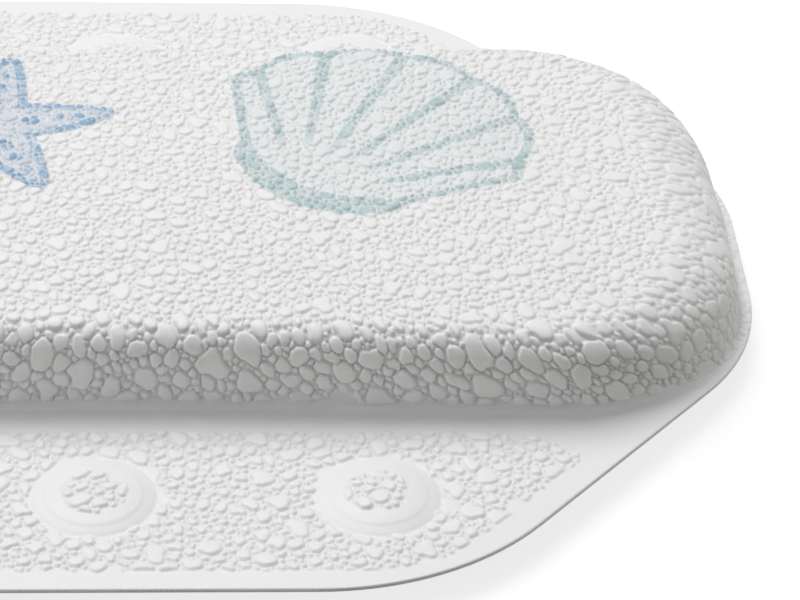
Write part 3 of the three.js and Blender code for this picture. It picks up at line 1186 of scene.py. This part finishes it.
def circle(centre: Vector, radius: float, steps: int) -> np.ndarray:
    """Works out the points of a circle about a centre, seen from above."""
    turn = np.arange(steps) * 2 * math.pi / steps
    return np.stack([centre.x + radius * np.cos(turn), centre.y + radius * np.sin(turn)], axis=1)


@dataclass
class TopCover:
    """The formed cover: grained cushion, weld band, two grained wings and six domes.

    Attributes:
        layers: The heights of the stack.
        flange: The flat wings.
        cushion: The cushion's outer face.
        step: The distance between points of the grained face.
        wall: The cover's thickness over the foam.
        top_relief: How deep the grain is on the crown.
        ridge_relief: How deep it is round the front ridge, where the form bends it open.
        wall_relief: How deep it is on the long walls.
        end_ridge_relief: How deep it is round the ridge of the ends.
        end_relief: How deep it is on the ends, where the sheet was stretched most.
        field_relief: How deep it is on the wings.
        wall_stretch: How far the sheet was drawn on the long walls, as a ratio.
        end_stretch: How far it was drawn on the ends.
        wall_coarseness: How much larger the pebbles are on the walls, as a ratio.
        wall_swell: How far they swell towards each other there.
        foot_fade: Over what distance the grain ends at the foot.
        end_grain_run: How far the grain runs on past the wall at the ends.
        field_fade: Over what distance it ends at a field's edge.
        wall_lead: How far before the middle of the ridge's turn the walls' grain begins.
        wall_blend: Over what distance it does so.
        ridge_reach: How far from that middle the ridge's deeper grain reaches.
        ground_sink: How far the cushion's ground is pressed in, as a share of the grain.
        knob_sink: How far a knob's ground is sunk, as a share of the grain, so that its
            crests end the dome's curve.
        knob_waver: How uneven a knob's edge is, as a share of knob_edge.
        sag: The slow unevenness of the crown.
        field_edge: The unevenness of the fields' edges.
        knob_edge: That of the grain round and on the domes.
        wear: How unevenly the ink lies.
        ink_share: How much of the vinyl the ink covers where it is printed.
        ink_least: The least share that it covers where it is worn.
        ink_skip: How much of it a groove misses, as a share.
        print_margin: How far onto the ridge's turn the print may run.
        pocket_clearance: The clearance round a cup's head.
        cavity_step: The distance between points of the hollow.
        grain: The pebbles.
        shell: The print at the right of the crown.
        star: The print at the left of its middle.
    """

    layers: Layers
    flange: Flange
    cushion: CushionForm
    step: float = 0.38 * MM
    wall: float = 2 * MM
    top_relief: float = 0.78 * MM
    ridge_relief: float = 1.2 * MM
    wall_relief: float = 1.45 * MM
    end_ridge_relief: float = 0.62 * MM
    end_relief: float = 0.34 * MM
    field_relief: float = 0.9 * MM
    wall_stretch: float = 1.15
    end_stretch: float = 1.0
    wall_coarseness: float = 1.3
    wall_swell: float = 0.26 * MM
    foot_fade: float = 1.2 * MM
    end_grain_run: float = 5.6 * MM
    field_fade: float = 1.4 * MM
    wall_lead: float = 2 * MM
    wall_blend: float = 6 * MM
    ridge_reach: float = 9 * MM
    ground_sink: float = 0.5
    knob_sink: float = 0.35
    knob_waver: float = 0.6
    sag: Unevenness = Unevenness(0.16 * MM, 90 * MM, waves=12, seed=11)
    field_edge: Unevenness = Unevenness(0.35 * MM, 7 * MM, waves=8, seed=3)
    knob_edge: Unevenness = Unevenness(0.5 * MM, 6 * MM, waves=8, seed=4)
    wear: Unevenness = Unevenness(0.14, 9 * MM, waves=12, seed=5)
    ink_share: float = 0.88
    ink_least: float = 0.45
    ink_skip: float = 0.55
    print_margin: float = 3 * MM
    pocket_clearance: float = 0.3 * MM
    cavity_step: float = 4 * MM
    grain: PebbleGrain = PebbleGrain()
    shell: ShellPrint = ShellPrint()
    star: StarPrint = StarPrint()

    def field_share(self, x: np.ndarray, y: np.ndarray) -> np.ndarray:
        """How much of the grained fields' rise lies at each place, from 0 to 1."""
        outline = self.flange.field_outline(self.cushion.depth)
        outside, _, _ = outline.distance(x, np.abs(y))
        return smooth_step((self.field_edge.at(x, y) - outside) / self.field_fade)

    def dome_distance(self, x: np.ndarray, y: np.ndarray) -> np.ndarray:
        """How far each place lies from the middle of the nearest dome."""
        near = np.full(x.shape, 1.0)
        for place in cup_places().values():
            near = np.minimum(near, np.hypot(x - place.x, y - place.y))
        return near

    def wings(self, x: np.ndarray, y: np.ndarray,
              on_flange: np.ndarray) -> tuple[np.ndarray, np.ndarray]:
        """Works out the grained fields and the domes of the flange.

        Args:
            x: Places along X.
            y: Places along Y.
            on_flange: Where the sheet is the flange.

        Returns:
            How far each place is raised, and how much grain it takes, from 0 to 1.
        """
        flange = self.flange
        share = self.field_share(x, y) * on_flange
        middle = self.dome_distance(x, y)
        uneven = self.knob_edge.at(x, y)
        dome = smooth_step((flange.dome_radius - middle) / flange.dome_edge) * on_flange
        knob_rim = flange.knob_radius + self.knob_waver * uneven
        knob = smooth_step((knob_rim - middle) / flange.knob_fade) * on_flange
        low = self.layers.pad_rise - self.field_relief
        tall = self.layers.pad_rise + flange.dome_rise - low
        plate = smooth_step((flange.plate_radius - middle) / flange.plate_fade)
        dome_top = low + tall * (1 - (middle / flange.dome_radius) ** 3)
        dome_top += flange.plate_step * (plate - 1)
        dome_top += (flange.knob_step - self.field_relief * self.knob_sink) * knob
        past_dome = middle - flange.dome_radius + uneven + flange.grain_start
        grained = np.maximum(share * smooth_step(past_dome / flange.grain_fade), knob)
        return share * (1 - dome) * low + dome * dome_top, grained

    def face(self, a: np.ndarray, b: np.ndarray) -> tuple[np.ndarray, np.ndarray, np.ndarray]:
        """Forms the whole outer face, with its relief.

        Args:
            a: Places along the sheet's length, one row for each b.
            b: Places along the sheet's depth.

        Returns:
            X, Y and Z of each place as one array, how deep in a groove it lies, and its print.
        """
        cushion = self.cushion
        x, y, z = cushion.formed(a, b)
        _, _, dir_a, _, way = cushion.ways(a, b)
        cut = cushion.section(dir_a)
        on_cushion = way < cut.wall_end + cushion.foot_fillet
        into_turn = smooth_step((way - cut.top_reach) / (cut.turn_end - cut.top_reach))
        z += self.sag.at(x, y) * (1 - into_turn)
        rise, on_wings = self.wings(x, y, ~on_cushion)
        z += rise
        # Towards an end the grain runs on past the wall; the power keeps that to the ends
        end = dir_a**4
        foot = smooth_step((cut.wall_end + self.end_grain_run * end - way) / self.foot_fade)
        grained = np.maximum(foot, on_wings)
        turn_middle = (cut.top_reach + cut.turn_end) / 2
        at_wall = smooth_step((way - turn_middle + self.wall_lead) / self.wall_blend) * on_cushion
        coarse = 1 + (self.wall_coarseness - 1) * at_wall
        stretch = max(self.wall_stretch, self.end_stretch)
        height, groove = self.grain.press(*self.unstretched(a, b), self.step, stretch, grained,
                                          coarse, self.wall_swell * at_wall)
        relief = self.relief(a, b)
        flange_relief = self.field_relief + (self.end_relief - self.field_relief) * end
        lift = height * np.where(on_cushion, relief, flange_relief)
        lift -= self.ground_sink * relief * foot
        place = np.stack([x, y, z], axis=-1)
        normal = np.cross(np.gradient(place, axis=1), np.gradient(place, axis=0))
        normal /= np.maximum(np.linalg.norm(normal, axis=-1, keepdims=True), 1e-12)
        place += normal * lift[..., None]
        on_crown = on_cushion & (way < cut.top_reach + self.print_margin)
        return place, groove, self.ink(x, y, on_crown, groove)

    def unstretched(self, a: np.ndarray, b: np.ndarray) -> tuple[np.ndarray, np.ndarray]:
        """Finds where places of the formed sheet lay when it was embossed.

        Args:
            a: Places along the sheet's length.
            b: Places along the sheet's depth.

        Returns:
            The same places before the walls were drawn down.
        """
        cushion = self.cushion
        core_a, core_b, dir_a, dir_b, way = cushion.ways(a, b)
        cut = cushion.section(dir_a)
        stretch = self.wall_stretch + (self.end_stretch - self.wall_stretch) * np.abs(dir_a)
        drawn = np.clip(way - cut.top_reach, 0, cut.wall_end - cut.top_reach)
        before = way - drawn * (1 - 1 / stretch)
        return core_a + dir_a * before, core_b + dir_b * before

    def relief(self, a: np.ndarray, b: np.ndarray) -> np.ndarray:
        """How deep the grain is at each place of the cushion."""
        cushion = self.cushion
        _, _, dir_a, _, way = cushion.ways(a, b)
        cut = cushion.section(dir_a)
        end = dir_a * dir_a
        wall = self.wall_relief + (self.end_relief - self.wall_relief) * end
        ridge = self.ridge_relief + (self.end_ridge_relief - self.ridge_relief) * end
        turn_middle = (cut.top_reach + cut.turn_end) / 2
        at_ridge = smooth_step(1 - np.abs(way - turn_middle) / self.ridge_reach)
        down = smooth_step((way - cut.top_reach) / (cut.turn_end - cut.top_reach))
        flat = self.top_relief + (wall - self.top_relief) * down
        return flat + (ridge - flat) * at_ridge

    def ink(self, x: np.ndarray, y: np.ndarray, on_crown: np.ndarray,
            groove: np.ndarray) -> np.ndarray:
        """Works out the print: the ink's colour and how much of the vinyl it covers.

        Args:
            x: Places along X.
            y: Places along Y.
            on_crown: Where the sheet may be printed.
            groove: How deep in a groove each place lies.

        Returns:
            Red, green, blue and cover of each place.
        """
        lines, fill = self.shell.cover(x, y)
        star_lines, star_fill = self.star.cover(x, y)
        worn = np.clip(self.ink_share + self.wear.at(x, y), self.ink_least, 1)
        shell_cover, star_cover = np.maximum(lines, fill), np.maximum(star_lines, star_fill)
        cover = np.maximum(shell_cover, star_cover) * worn * on_crown
        cover *= 1 - self.ink_skip * groove
        is_star = (star_cover > shell_cover)[..., None]
        wash = lines[..., None] < fill[..., None]
        inks = (self.shell.ink, self.shell.wash, self.star.ink)
        ink, pale, blue = (np.array(linear(colour)[:3]) for colour in inks)
        colour = np.where(is_star, blue, np.where(wash, pale, ink))
        return np.concatenate([colour, cover[..., None]], axis=-1)

    def build(self, material: bpy.types.Material) -> bpy.types.Object:
        """Builds the cover as one closed piece."""
        cushion, layers = self.cushion, self.layers
        # Flat, the sheet is larger than the flange by what the walls take up
        taken = cushion.corner_radius + cushion.foot_fillet
        across = self.flange.depth / 2 + cushion.section(0.0).fillet_end - taken
        endways = self.flange.length / 2 + cushion.section(1.0).fillet_end - taken
        bm, a, b = flat_grid(self.step, endways + 2 * self.step, across + 2 * self.step)
        place, groove, ink = self.face(a, b)
        outline = self.flange.outline()
        outside, out_x, out_y = outline.distance(place[..., 0], place[..., 1])
        outside = outside + layers.weld_bead
        # The outermost points that stay are moved onto the edge, so that it is smooth
        onto_edge = np.where(outside > -0.45 * self.step, outside, 0)
        place[..., 0] -= onto_edge * out_x
        place[..., 1] -= onto_edge * out_y
        self.carry(bm, place, groove, ink)
        keep_inside(bm, outside, 0.5 * self.step)
        self.close_under(bm, outline)
        piece = piece_from(bm, "cover_formed_vinyl", material, PILLOW_BODY,
                           ["top_cover"])
        return piece

    def carry(self, bm: bmesh.types.BMesh, place: np.ndarray, groove: np.ndarray,
              ink: np.ndarray) -> None:
        """Moves the sheet's points into place and writes groove and print on them.

        Args:
            bm: The flat sheet.
            place: Where each point goes.
            groove: How deep in a groove each point lies.
            ink: The print at each point.
        """
        grooves = bm.verts.layers.float.new("groove")
        prints = bm.verts.layers.float_color.new("print")
        rows = zip(bm.verts, place.reshape(-1, 3).tolist(), groove.ravel().tolist(),
                   ink.reshape(-1, 4).tolist())
        for vert, point, deep, colour in rows:
            vert.co = point
            vert[grooves] = deep
            vert[prints] = colour

    def close_under(self, bm: bmesh.types.BMesh, outline: RoundedOutline) -> None:
        """Rounds the cut edge and closes the underside, with its hollow and pockets.

        Args:
            bm: The outer face.
            outline: The cut edge.
        """
        layers = self.layers
        rim = extrude_rim(bm, rim_edges(bm), layers.weld_top - layers.weld_bead, outline)
        loops = extrude_rim(bm, rim, layers.base_top)
        hollow = inner_form(layers, self.wall)
        loops += add_formed_shell(bm, hollow, self.cavity_step, inward=True)
        cup = SuctionCup.sizes()
        for centre in cup_places().values():
            pocket = circle(centre, cup.head_radius + self.pocket_clearance, HOLE_STEPS)
            ring = add_loop(bm, pocket, layers.base_top)
            loops += ring
            top = extrude_rim(bm, ring, cup.head_top + self.pocket_clearance)
            bmesh.ops.contextual_create(bm, geom=top)
        filled = bmesh.ops.triangle_fill(bm, edges=loops, use_beauty=False, normal=(0, 0, -1))
        under = [face for face in filled["geom"] if isinstance(face, bmesh.types.BMFace)]
        LOG.info("underside filled with %d faces", len(under))
        bmesh.ops.recalc_face_normals(bm, faces=bm.faces)


def add_formed_shell(bm: bmesh.types.BMesh, form: CushionForm, step: float,
                     inward: bool) -> list[bmesh.types.BMEdge]:
    """Adds a coarse cushion surface down to its foot.

    Args:
        bm: The mesh that takes it.
        form: The surface.
        step: The distance between its points on the flat sheet.
        inward: Whether its faces point into the hollow beneath it.

    Returns:
        The edges of its foot.
    """
    sheet, a, b = flat_grid(step, form.core_x + form.section(1.0).wall_end,
                            form.core_y + form.section(0.0).wall_end)
    _, _, dir_a, _, way = form.ways(a, b)
    places = np.stack(form.formed(a, b), axis=-1).reshape(-1, 3)
    for vert, point in zip(sheet.verts, places.tolist()):
        vert.co = point
    # The points end a little short of the foot, which the extruded rim then reaches
    keep_inside(sheet, way - form.section(dir_a).wall_end, -0.2 * step)
    extrude_rim(sheet, rim_edges(sheet), form.floor)
    if inward:
        bmesh.ops.reverse_faces(sheet, faces=sheet.faces)
    mesh = mesh_from(sheet, "formed_shell")
    before = set(bm.edges)
    bm.from_mesh(mesh)
    bpy.data.meshes.remove(mesh)
    return [edge for edge in bm.edges if edge not in before and edge.is_boundary]


@dataclass
class FoamCore:
    """The foam block: cut to the shell, a little smaller, and flat underneath.

    Attributes:
        layers: The heights of the stack.
        inset: How far the block lies inside the cover's outer face.
        step: The distance between its points.
    """

    layers: Layers
    inset: float = 2.3 * MM
    step: float = 3 * MM

    def build(self, material: bpy.types.Material) -> bpy.types.Object:
        """Builds the block as one closed piece."""
        bm = bmesh.new()
        form = inner_form(self.layers, self.inset)
        foot = add_formed_shell(bm, form, self.step, inward=False)
        bmesh.ops.triangle_fill(bm, edges=foot, use_beauty=False, normal=(0, 0, -1))
        bmesh.ops.recalc_face_normals(bm, faces=bm.faces)
        piece = piece_from(bm, "core_foam_block", material, PILLOW_BODY, ["foam_core"])
        return piece


@dataclass
class BaseSheet:
    """The flat sheet underneath, with a punched hole for each cup and pressed weld lines.

    Attributes:
        layers: The heights of the stack.
        flange: The flange, whose edge the sheet shares.
        cushion: The cushion, whose foot is welded to it.
        weld_depth: How far a weld line is pressed in.
        weld_width: The width of a weld line.
        foot_gap: How far outside the cushion's foot the long weld line begins.
        hole_clearance: The clearance round a cup's neck.
    """

    layers: Layers
    flange: Flange
    cushion: CushionForm
    weld_depth: float = 0.12 * MM
    weld_width: float = 2 * MM
    foot_gap: float = 0.3 * MM
    hole_clearance: float = 0.3 * MM

    def foot_outline(self, offset: float) -> np.ndarray:
        """The cushion's foot, moved out by an offset."""
        x, y = self.cushion.length / 2 + offset, self.cushion.depth / 2 + offset
        rounding = self.cushion.corner_radius + offset
        corners = ((x, -y, rounding), (x, y, rounding), (-x, y, rounding), (-x, -y, rounding))
        return RoundedOutline(corners).points()

    def build(self, material: bpy.types.Material) -> bpy.types.Object:
        """Builds the sheet as one closed piece."""
        layers, flange = self.layers, self.flange
        cup = SuctionCup.sizes()
        weld = self.weld_section()
        bm = bmesh.new()
        edge = add_loop(bm, flange.outline().points(), layers.base_low)
        loops = list(edge)
        seams = [(self.foot_outline(self.foot_gap + across), height) for across, height in weld]
        holes = []
        for centre in cup_places().values():
            seams += [(circle(centre, flange.dome_radius + across, DOME_STEPS), height)
                      for across, height in weld]
            hole = circle(centre, cup.neck_radius + self.hole_clearance, HOLE_STEPS)
            holes += add_loop(bm, hole, layers.base_low)
        for points, height in seams:
            loops += add_loop(bm, points, height)
        loops += holes
        bmesh.ops.triangle_fill(bm, edges=loops, use_beauty=True, normal=(0, 0, -1))
        upper = extrude_rim(bm, edge + holes, layers.base_top)
        bmesh.ops.triangle_fill(bm, edges=upper, use_beauty=True, normal=(0, 0, 1))
        bmesh.ops.recalc_face_normals(bm, faces=bm.faces)
        piece = piece_from(bm, "base_calendered_sheet", material, PILLOW_BODY,
                           ["base_sheet"])
        piece.data.shade_flat()
        return piece

    def weld_section(self) -> list[tuple[float, float]]:
        """Distance across and height of the four lines that bound a pressed weld."""
        low, pressed = self.layers.base_low, self.layers.base_low + self.weld_depth
        wide, slope = self.weld_width, self.weld_depth
        return [(0.0, low), (slope, pressed), (wide - slope, pressed), (wide, low)]


@dataclass(frozen=True)
class CupSizes:
    """Sizes of a suction cup, from the rim upwards.

    Attributes:
        rim_radius: The radius of the rim.
        rim_thickness: How thick the skirt is at its rim.
        rim_land: How far the hollow stays inside the rim.
        hollow_depth: How deep the hollow is.
        skirt_height: How tall the skirt is.
        shoulder: How far the skirt's top reaches past the neck.
        neck_radius: The radius of the neck.
        head_radius: The radius of the head.
        head_bottom: The height of the head's underside.
        head_top: The height of its top.
        flare_power: How the skirt's outside flares: above 1, it hollows in.
        lip: The small rounding of the rim.
        head_rounding: The small rounding of the head.
        rim_step: How far inside the rim the skirt's outside begins.
    """

    rim_radius: float
    rim_thickness: float
    rim_land: float
    hollow_depth: float
    skirt_height: float
    shoulder: float
    neck_radius: float
    head_radius: float
    head_bottom: float
    head_top: float
    flare_power: float = 1.3
    lip: float = 0.25 * MM
    head_rounding: float = 0.3 * MM
    rim_step: float = 0.1 * MM


@dataclass
class SuctionCup:
    """A soft moulded cup: the skirt flattens when it is pressed, the head stays in the cover.

    Attributes:
        row: Its row.
        column: Its column.
        centre: The middle of its rim.
        steps: How many steps it is turned in.
        hollow_steps: Straight pieces in the section of its hollow.
        flare_steps: Straight pieces in the section of its outside.
    """

    row: Row
    column: Column
    centre: Vector
    steps: int = 72
    hollow_steps: int = 12
    flare_steps: int = 10

    @staticmethod
    def sizes() -> CupSizes:
        """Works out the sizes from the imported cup."""
        low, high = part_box("suction_cup_front_centre")
        return CupSizes(
            rim_radius=(high.x - low.x) / 2,
            rim_thickness=0.8 * MM,
            rim_land=2 * MM,
            hollow_depth=5 * MM,
            skirt_height=8.3 * MM,
            shoulder=2 * MM,
            neck_radius=4.5 * MM,
            head_radius=8 * MM,
            head_bottom=high.z - 1.2 * MM,
            head_top=high.z,
        )

    def skirt_profile(self, size: CupSizes) -> list[tuple[float, float]]:
        """Radius and height round the skirt's section, from the hollow's top to the neck."""
        hollow_radius = size.rim_radius - size.rim_land
        rows = []
        for i in range(self.hollow_steps + 1):
            share = i / self.hollow_steps
            rows.append((hollow_radius * share, size.hollow_depth * math.cos(math.pi / 2 * share)))
        rows += [(size.rim_radius - size.lip, 0.0), (size.rim_radius, size.lip)]
        start = size.neck_radius + size.shoulder
        run = size.rim_radius - size.rim_step - start
        climb = size.skirt_height - size.rim_thickness
        for i in range(self.flare_steps + 1):
            share = 1 - i / self.flare_steps
            up = (1 - share) ** size.flare_power
            rows.append((start + run * share, size.rim_thickness + climb * up))
        rows.append((0.0, size.skirt_height))
        return rows

    def head_profile(self, size: CupSizes) -> list[tuple[float, float]]:
        """Radius and height round the neck and head's section."""
        soft = size.head_rounding
        return [
            (0.0, size.skirt_height),
            (size.neck_radius, size.skirt_height),
            (size.neck_radius, size.head_bottom),
            (size.head_radius - soft, size.head_bottom),
            (size.head_radius, size.head_bottom + soft),
            (size.head_radius, size.head_top - soft),
            (size.head_radius - soft, size.head_top),
            (0.0, size.head_top),
        ]

    def turned(self, profile: list[tuple[float, float]]) -> bmesh.types.BMesh:
        """Turns a section round the cup's axis.

        Args:
            profile: Radius and height of each point, from axis to axis.

        Returns:
            The closed body, in its place.
        """
        bm = bmesh.new()
        verts = [bm.verts.new((radius, 0.0, height)) for radius, height in profile]
        edges = [bm.edges.new(pair) for pair in zip(verts, verts[1:])]
        bmesh.ops.spin(bm, geom=verts + edges, cent=(0, 0, 0), axis=(0, 0, 1), dvec=(0, 0, 0),
                       angle=2 * math.pi, steps=self.steps, use_merge=True, use_duplicate=False)
        bmesh.ops.remove_doubles(bm, verts=bm.verts, dist=0.001 * MM)
        bmesh.ops.recalc_face_normals(bm, faces=bm.faces)
        bmesh.ops.translate(bm, verts=bm.verts, vec=(self.centre.x, self.centre.y, 0))
        return bm

    def build(self, material: bpy.types.Material) -> None:
        """Builds the skirt, which rides on the cup's body, and the head, which the pillow holds."""
        size = self.sizes()
        label = f"{self.row.name.lower()}_{self.column.name.lower()}"
        node = f"suction_cup_{label}"
        skirt = piece_from(self.turned(self.skirt_profile(size)), f"cup_skirt_{label}",
                           material, f"cup_{label}", [node])
        piece_from(self.turned(self.head_profile(size)), f"cup_head_{label}",
                   material, PILLOW_BODY, [node])
        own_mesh(skirt)


@dataclass(frozen=True)
class SoftLamp:
    """A square soft lamp that faces the middle of the pillow.

    Attributes:
        name: Its name.
        place: Where it hangs, in metres.
        width: The side of the square, in metres.
        power: Its power, in watts.
    """

    name: str
    place: tuple[float, float, float]
    width: float
    power: float

    def build(self) -> None:
        """Adds the lamp, which is white."""
        data = bpy.data.lights.new(self.name, "AREA")
        data.shape = "SQUARE"
        data.size = self.width
        data.energy = self.power
        lamp = add_object(self.name, data)
        lamp.location = self.place
        lamp.rotation_euler = (-Vector(self.place)).to_track_quat("-Z", "Y").to_euler()


@dataclass
class Studio:
    """A pale floor, four soft lamps, and the photograph's camera.

    Attributes:
        focal_pixels: The camera's focal length in pixels of the picture.
        picture_width: The picture's width, in pixels.
        sensor: The width of the camera's sensor, in mm.
        heading: The camera's turn from +Y towards +X, in degrees.
        pitch: How far it looks down, in degrees.
        roll: How far the scene is turned clockwise in the picture, in degrees.
        eye: Where the camera stands.
        room_light: How strongly the room lights the object from all sides.
        room_colour: The colour of that light.
        floor_colour: The floor as it lights the object.
        floor_tone: The grey that takes the object's shadow, as linear light.
        floor_glow: What lifts that grey to white where nothing shades it.
        lamps: A large window behind, a little to the left, and three weak fills.
    """

    focal_pixels: float = 3216
    picture_width: float = 800
    sensor: float = 36
    heading: float = 4.34
    pitch: float = 35.0
    roll: float = 2.6
    eye: tuple[float, float, float] = (28.3 * MM, -786.3 * MM, 546.8 * MM)
    room_light: float = 0.14
    room_colour: str = "#FCFDFF"
    floor_colour: str = "#A09D91"
    floor_tone: float = 0.3
    floor_glow: float = 0.78
    lamps: tuple[SoftLamp, ...] = (
        SoftLamp("window_behind", (-0.3, 0.77, 1.78), 1.5, 32.3),
        SoftLamp("ceiling", (0.0, -0.5, 1.85), 0.9, 2.0),
        SoftLamp("window_left", (-1.4, -0.5, 0.45), 0.7, 4.6),
        SoftLamp("bounce_right", (1.6, -0.15, 0.5), 0.7, 3.6),
    )

    def camera(self) -> None:
        """Sets up the photograph's camera."""
        heading, pitch, roll = (math.radians(v) for v in (self.heading, self.pitch, self.roll))
        level = math.cos(pitch)
        look = Vector((math.sin(heading) * level, math.cos(heading) * level, -math.sin(pitch)))
        right = Vector((math.cos(heading), -math.sin(heading), 0))
        up = right.cross(look)
        across = right * math.cos(roll) + up * math.sin(roll)
        tall = up * math.cos(roll) - right * math.sin(roll)
        data = bpy.data.cameras.new("photo_camera")
        data.sensor_width = self.sensor
        data.lens = self.focal_pixels / self.picture_width * self.sensor
        data.clip_start = 0.05
        data.clip_end = 20
        camera = add_object("photo_camera", data)
        turned = Matrix((across, tall, -look)).transposed().to_4x4()
        camera.matrix_world = Matrix.Translation(Vector(self.eye)) @ turned
        bpy.context.scene.camera = camera

    def world(self) -> None:
        """Lights the room evenly, and shows white behind the object."""
        world = bpy.data.worlds.new("studio")
        world.use_nodes = True
        tree = world.node_tree
        tree.nodes.clear()
        dim = add_node(tree, "ShaderNodeBackground", {}, {
            "Color": linear(self.room_colour), "Strength": self.room_light})
        white = add_node(tree, "ShaderNodeBackground", {}, {"Color": (1, 1, 1, 1), "Strength": 1.0})
        mix = add_node(tree, "ShaderNodeMixShader", {}, {
            0: rays_that_see(tree), 1: dim.outputs[0], 2: white.outputs[0]})
        add_node(tree, "ShaderNodeOutputWorld", {}, {"Surface": mix.outputs[0]})
        bpy.context.scene.world = world

    def floor(self) -> None:
        """Lays a pale floor that is white to the camera and returns less light to the object."""
        bm = bmesh.new()
        bmesh.ops.create_grid(bm, x_segments=2, y_segments=2, size=4.0)
        mesh = mesh_from(bm, "floor")
        made = bpy.data.materials.new("seamless_paper")
        made.use_nodes = True
        tree = made.node_tree
        shader = tree.nodes["Principled BSDF"]
        seen = rays_that_see(tree)
        tone = add_node(tree, "ShaderNodeMix", {"data_type": "RGBA"}, {
            "Factor": seen, 6: linear(self.floor_colour), 7: (*[self.floor_tone] * 3, 1)})
        fill_inputs(tree, shader, {
            "Base Color": tone.outputs[2], "Roughness": 1.0, "Specular IOR Level": 0.0})
        lift = add_node(tree, "ShaderNodeMath", {"operation": "MULTIPLY"}, {
            0: seen, 1: self.floor_glow})
        glow = add_node(tree, "ShaderNodeEmission", {}, {
            "Color": (1, 1, 1, 1), "Strength": lift.outputs[0]})
        both = add_node(tree, "ShaderNodeAddShader", {}, {0: shader.outputs[0], 1: glow.outputs[0]})
        fill_inputs(tree, tree.nodes["Material Output"], {"Surface": both.outputs[0]})
        mesh.materials.append(made)
        add_object("floor", mesh)

    def build(self) -> None:
        """Sets up floor, light and camera."""
        self.floor()
        self.world()
        for lamp in self.lamps:
            lamp.build()
        self.camera()


def main() -> None:
    """Builds the pillow's pieces and the studio."""
    logging.basicConfig(level=logging.INFO, format="%(name)s: %(message)s")
    bpy.context.scene.view_settings.view_transform = "Standard"
    sheet_low, sheet_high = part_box("base_sheet")
    layers = Layers(base_low=sheet_low.z, base_top=sheet_high.z)
    flange = Flange(length=sheet_high.x - sheet_low.x, depth=sheet_high.y - sheet_low.y)
    cushion = CushionForm(floor=layers.weld_top, weld_top=layers.weld_top)
    TopCover(layers, flange, cushion).build(FoamedVinyl().material())
    FoamCore(layers).build(CutFoam().material())
    BaseSheet(layers, flange, cushion).build(CalenderedVinyl().material())
    cup_material = MouldedCupVinyl().material()
    for (row, column), centre in cup_places().items():
        SuctionCup(row, column, centre).build(cup_material)
    Studio().build()


if __name__ == "__main__":
    main()
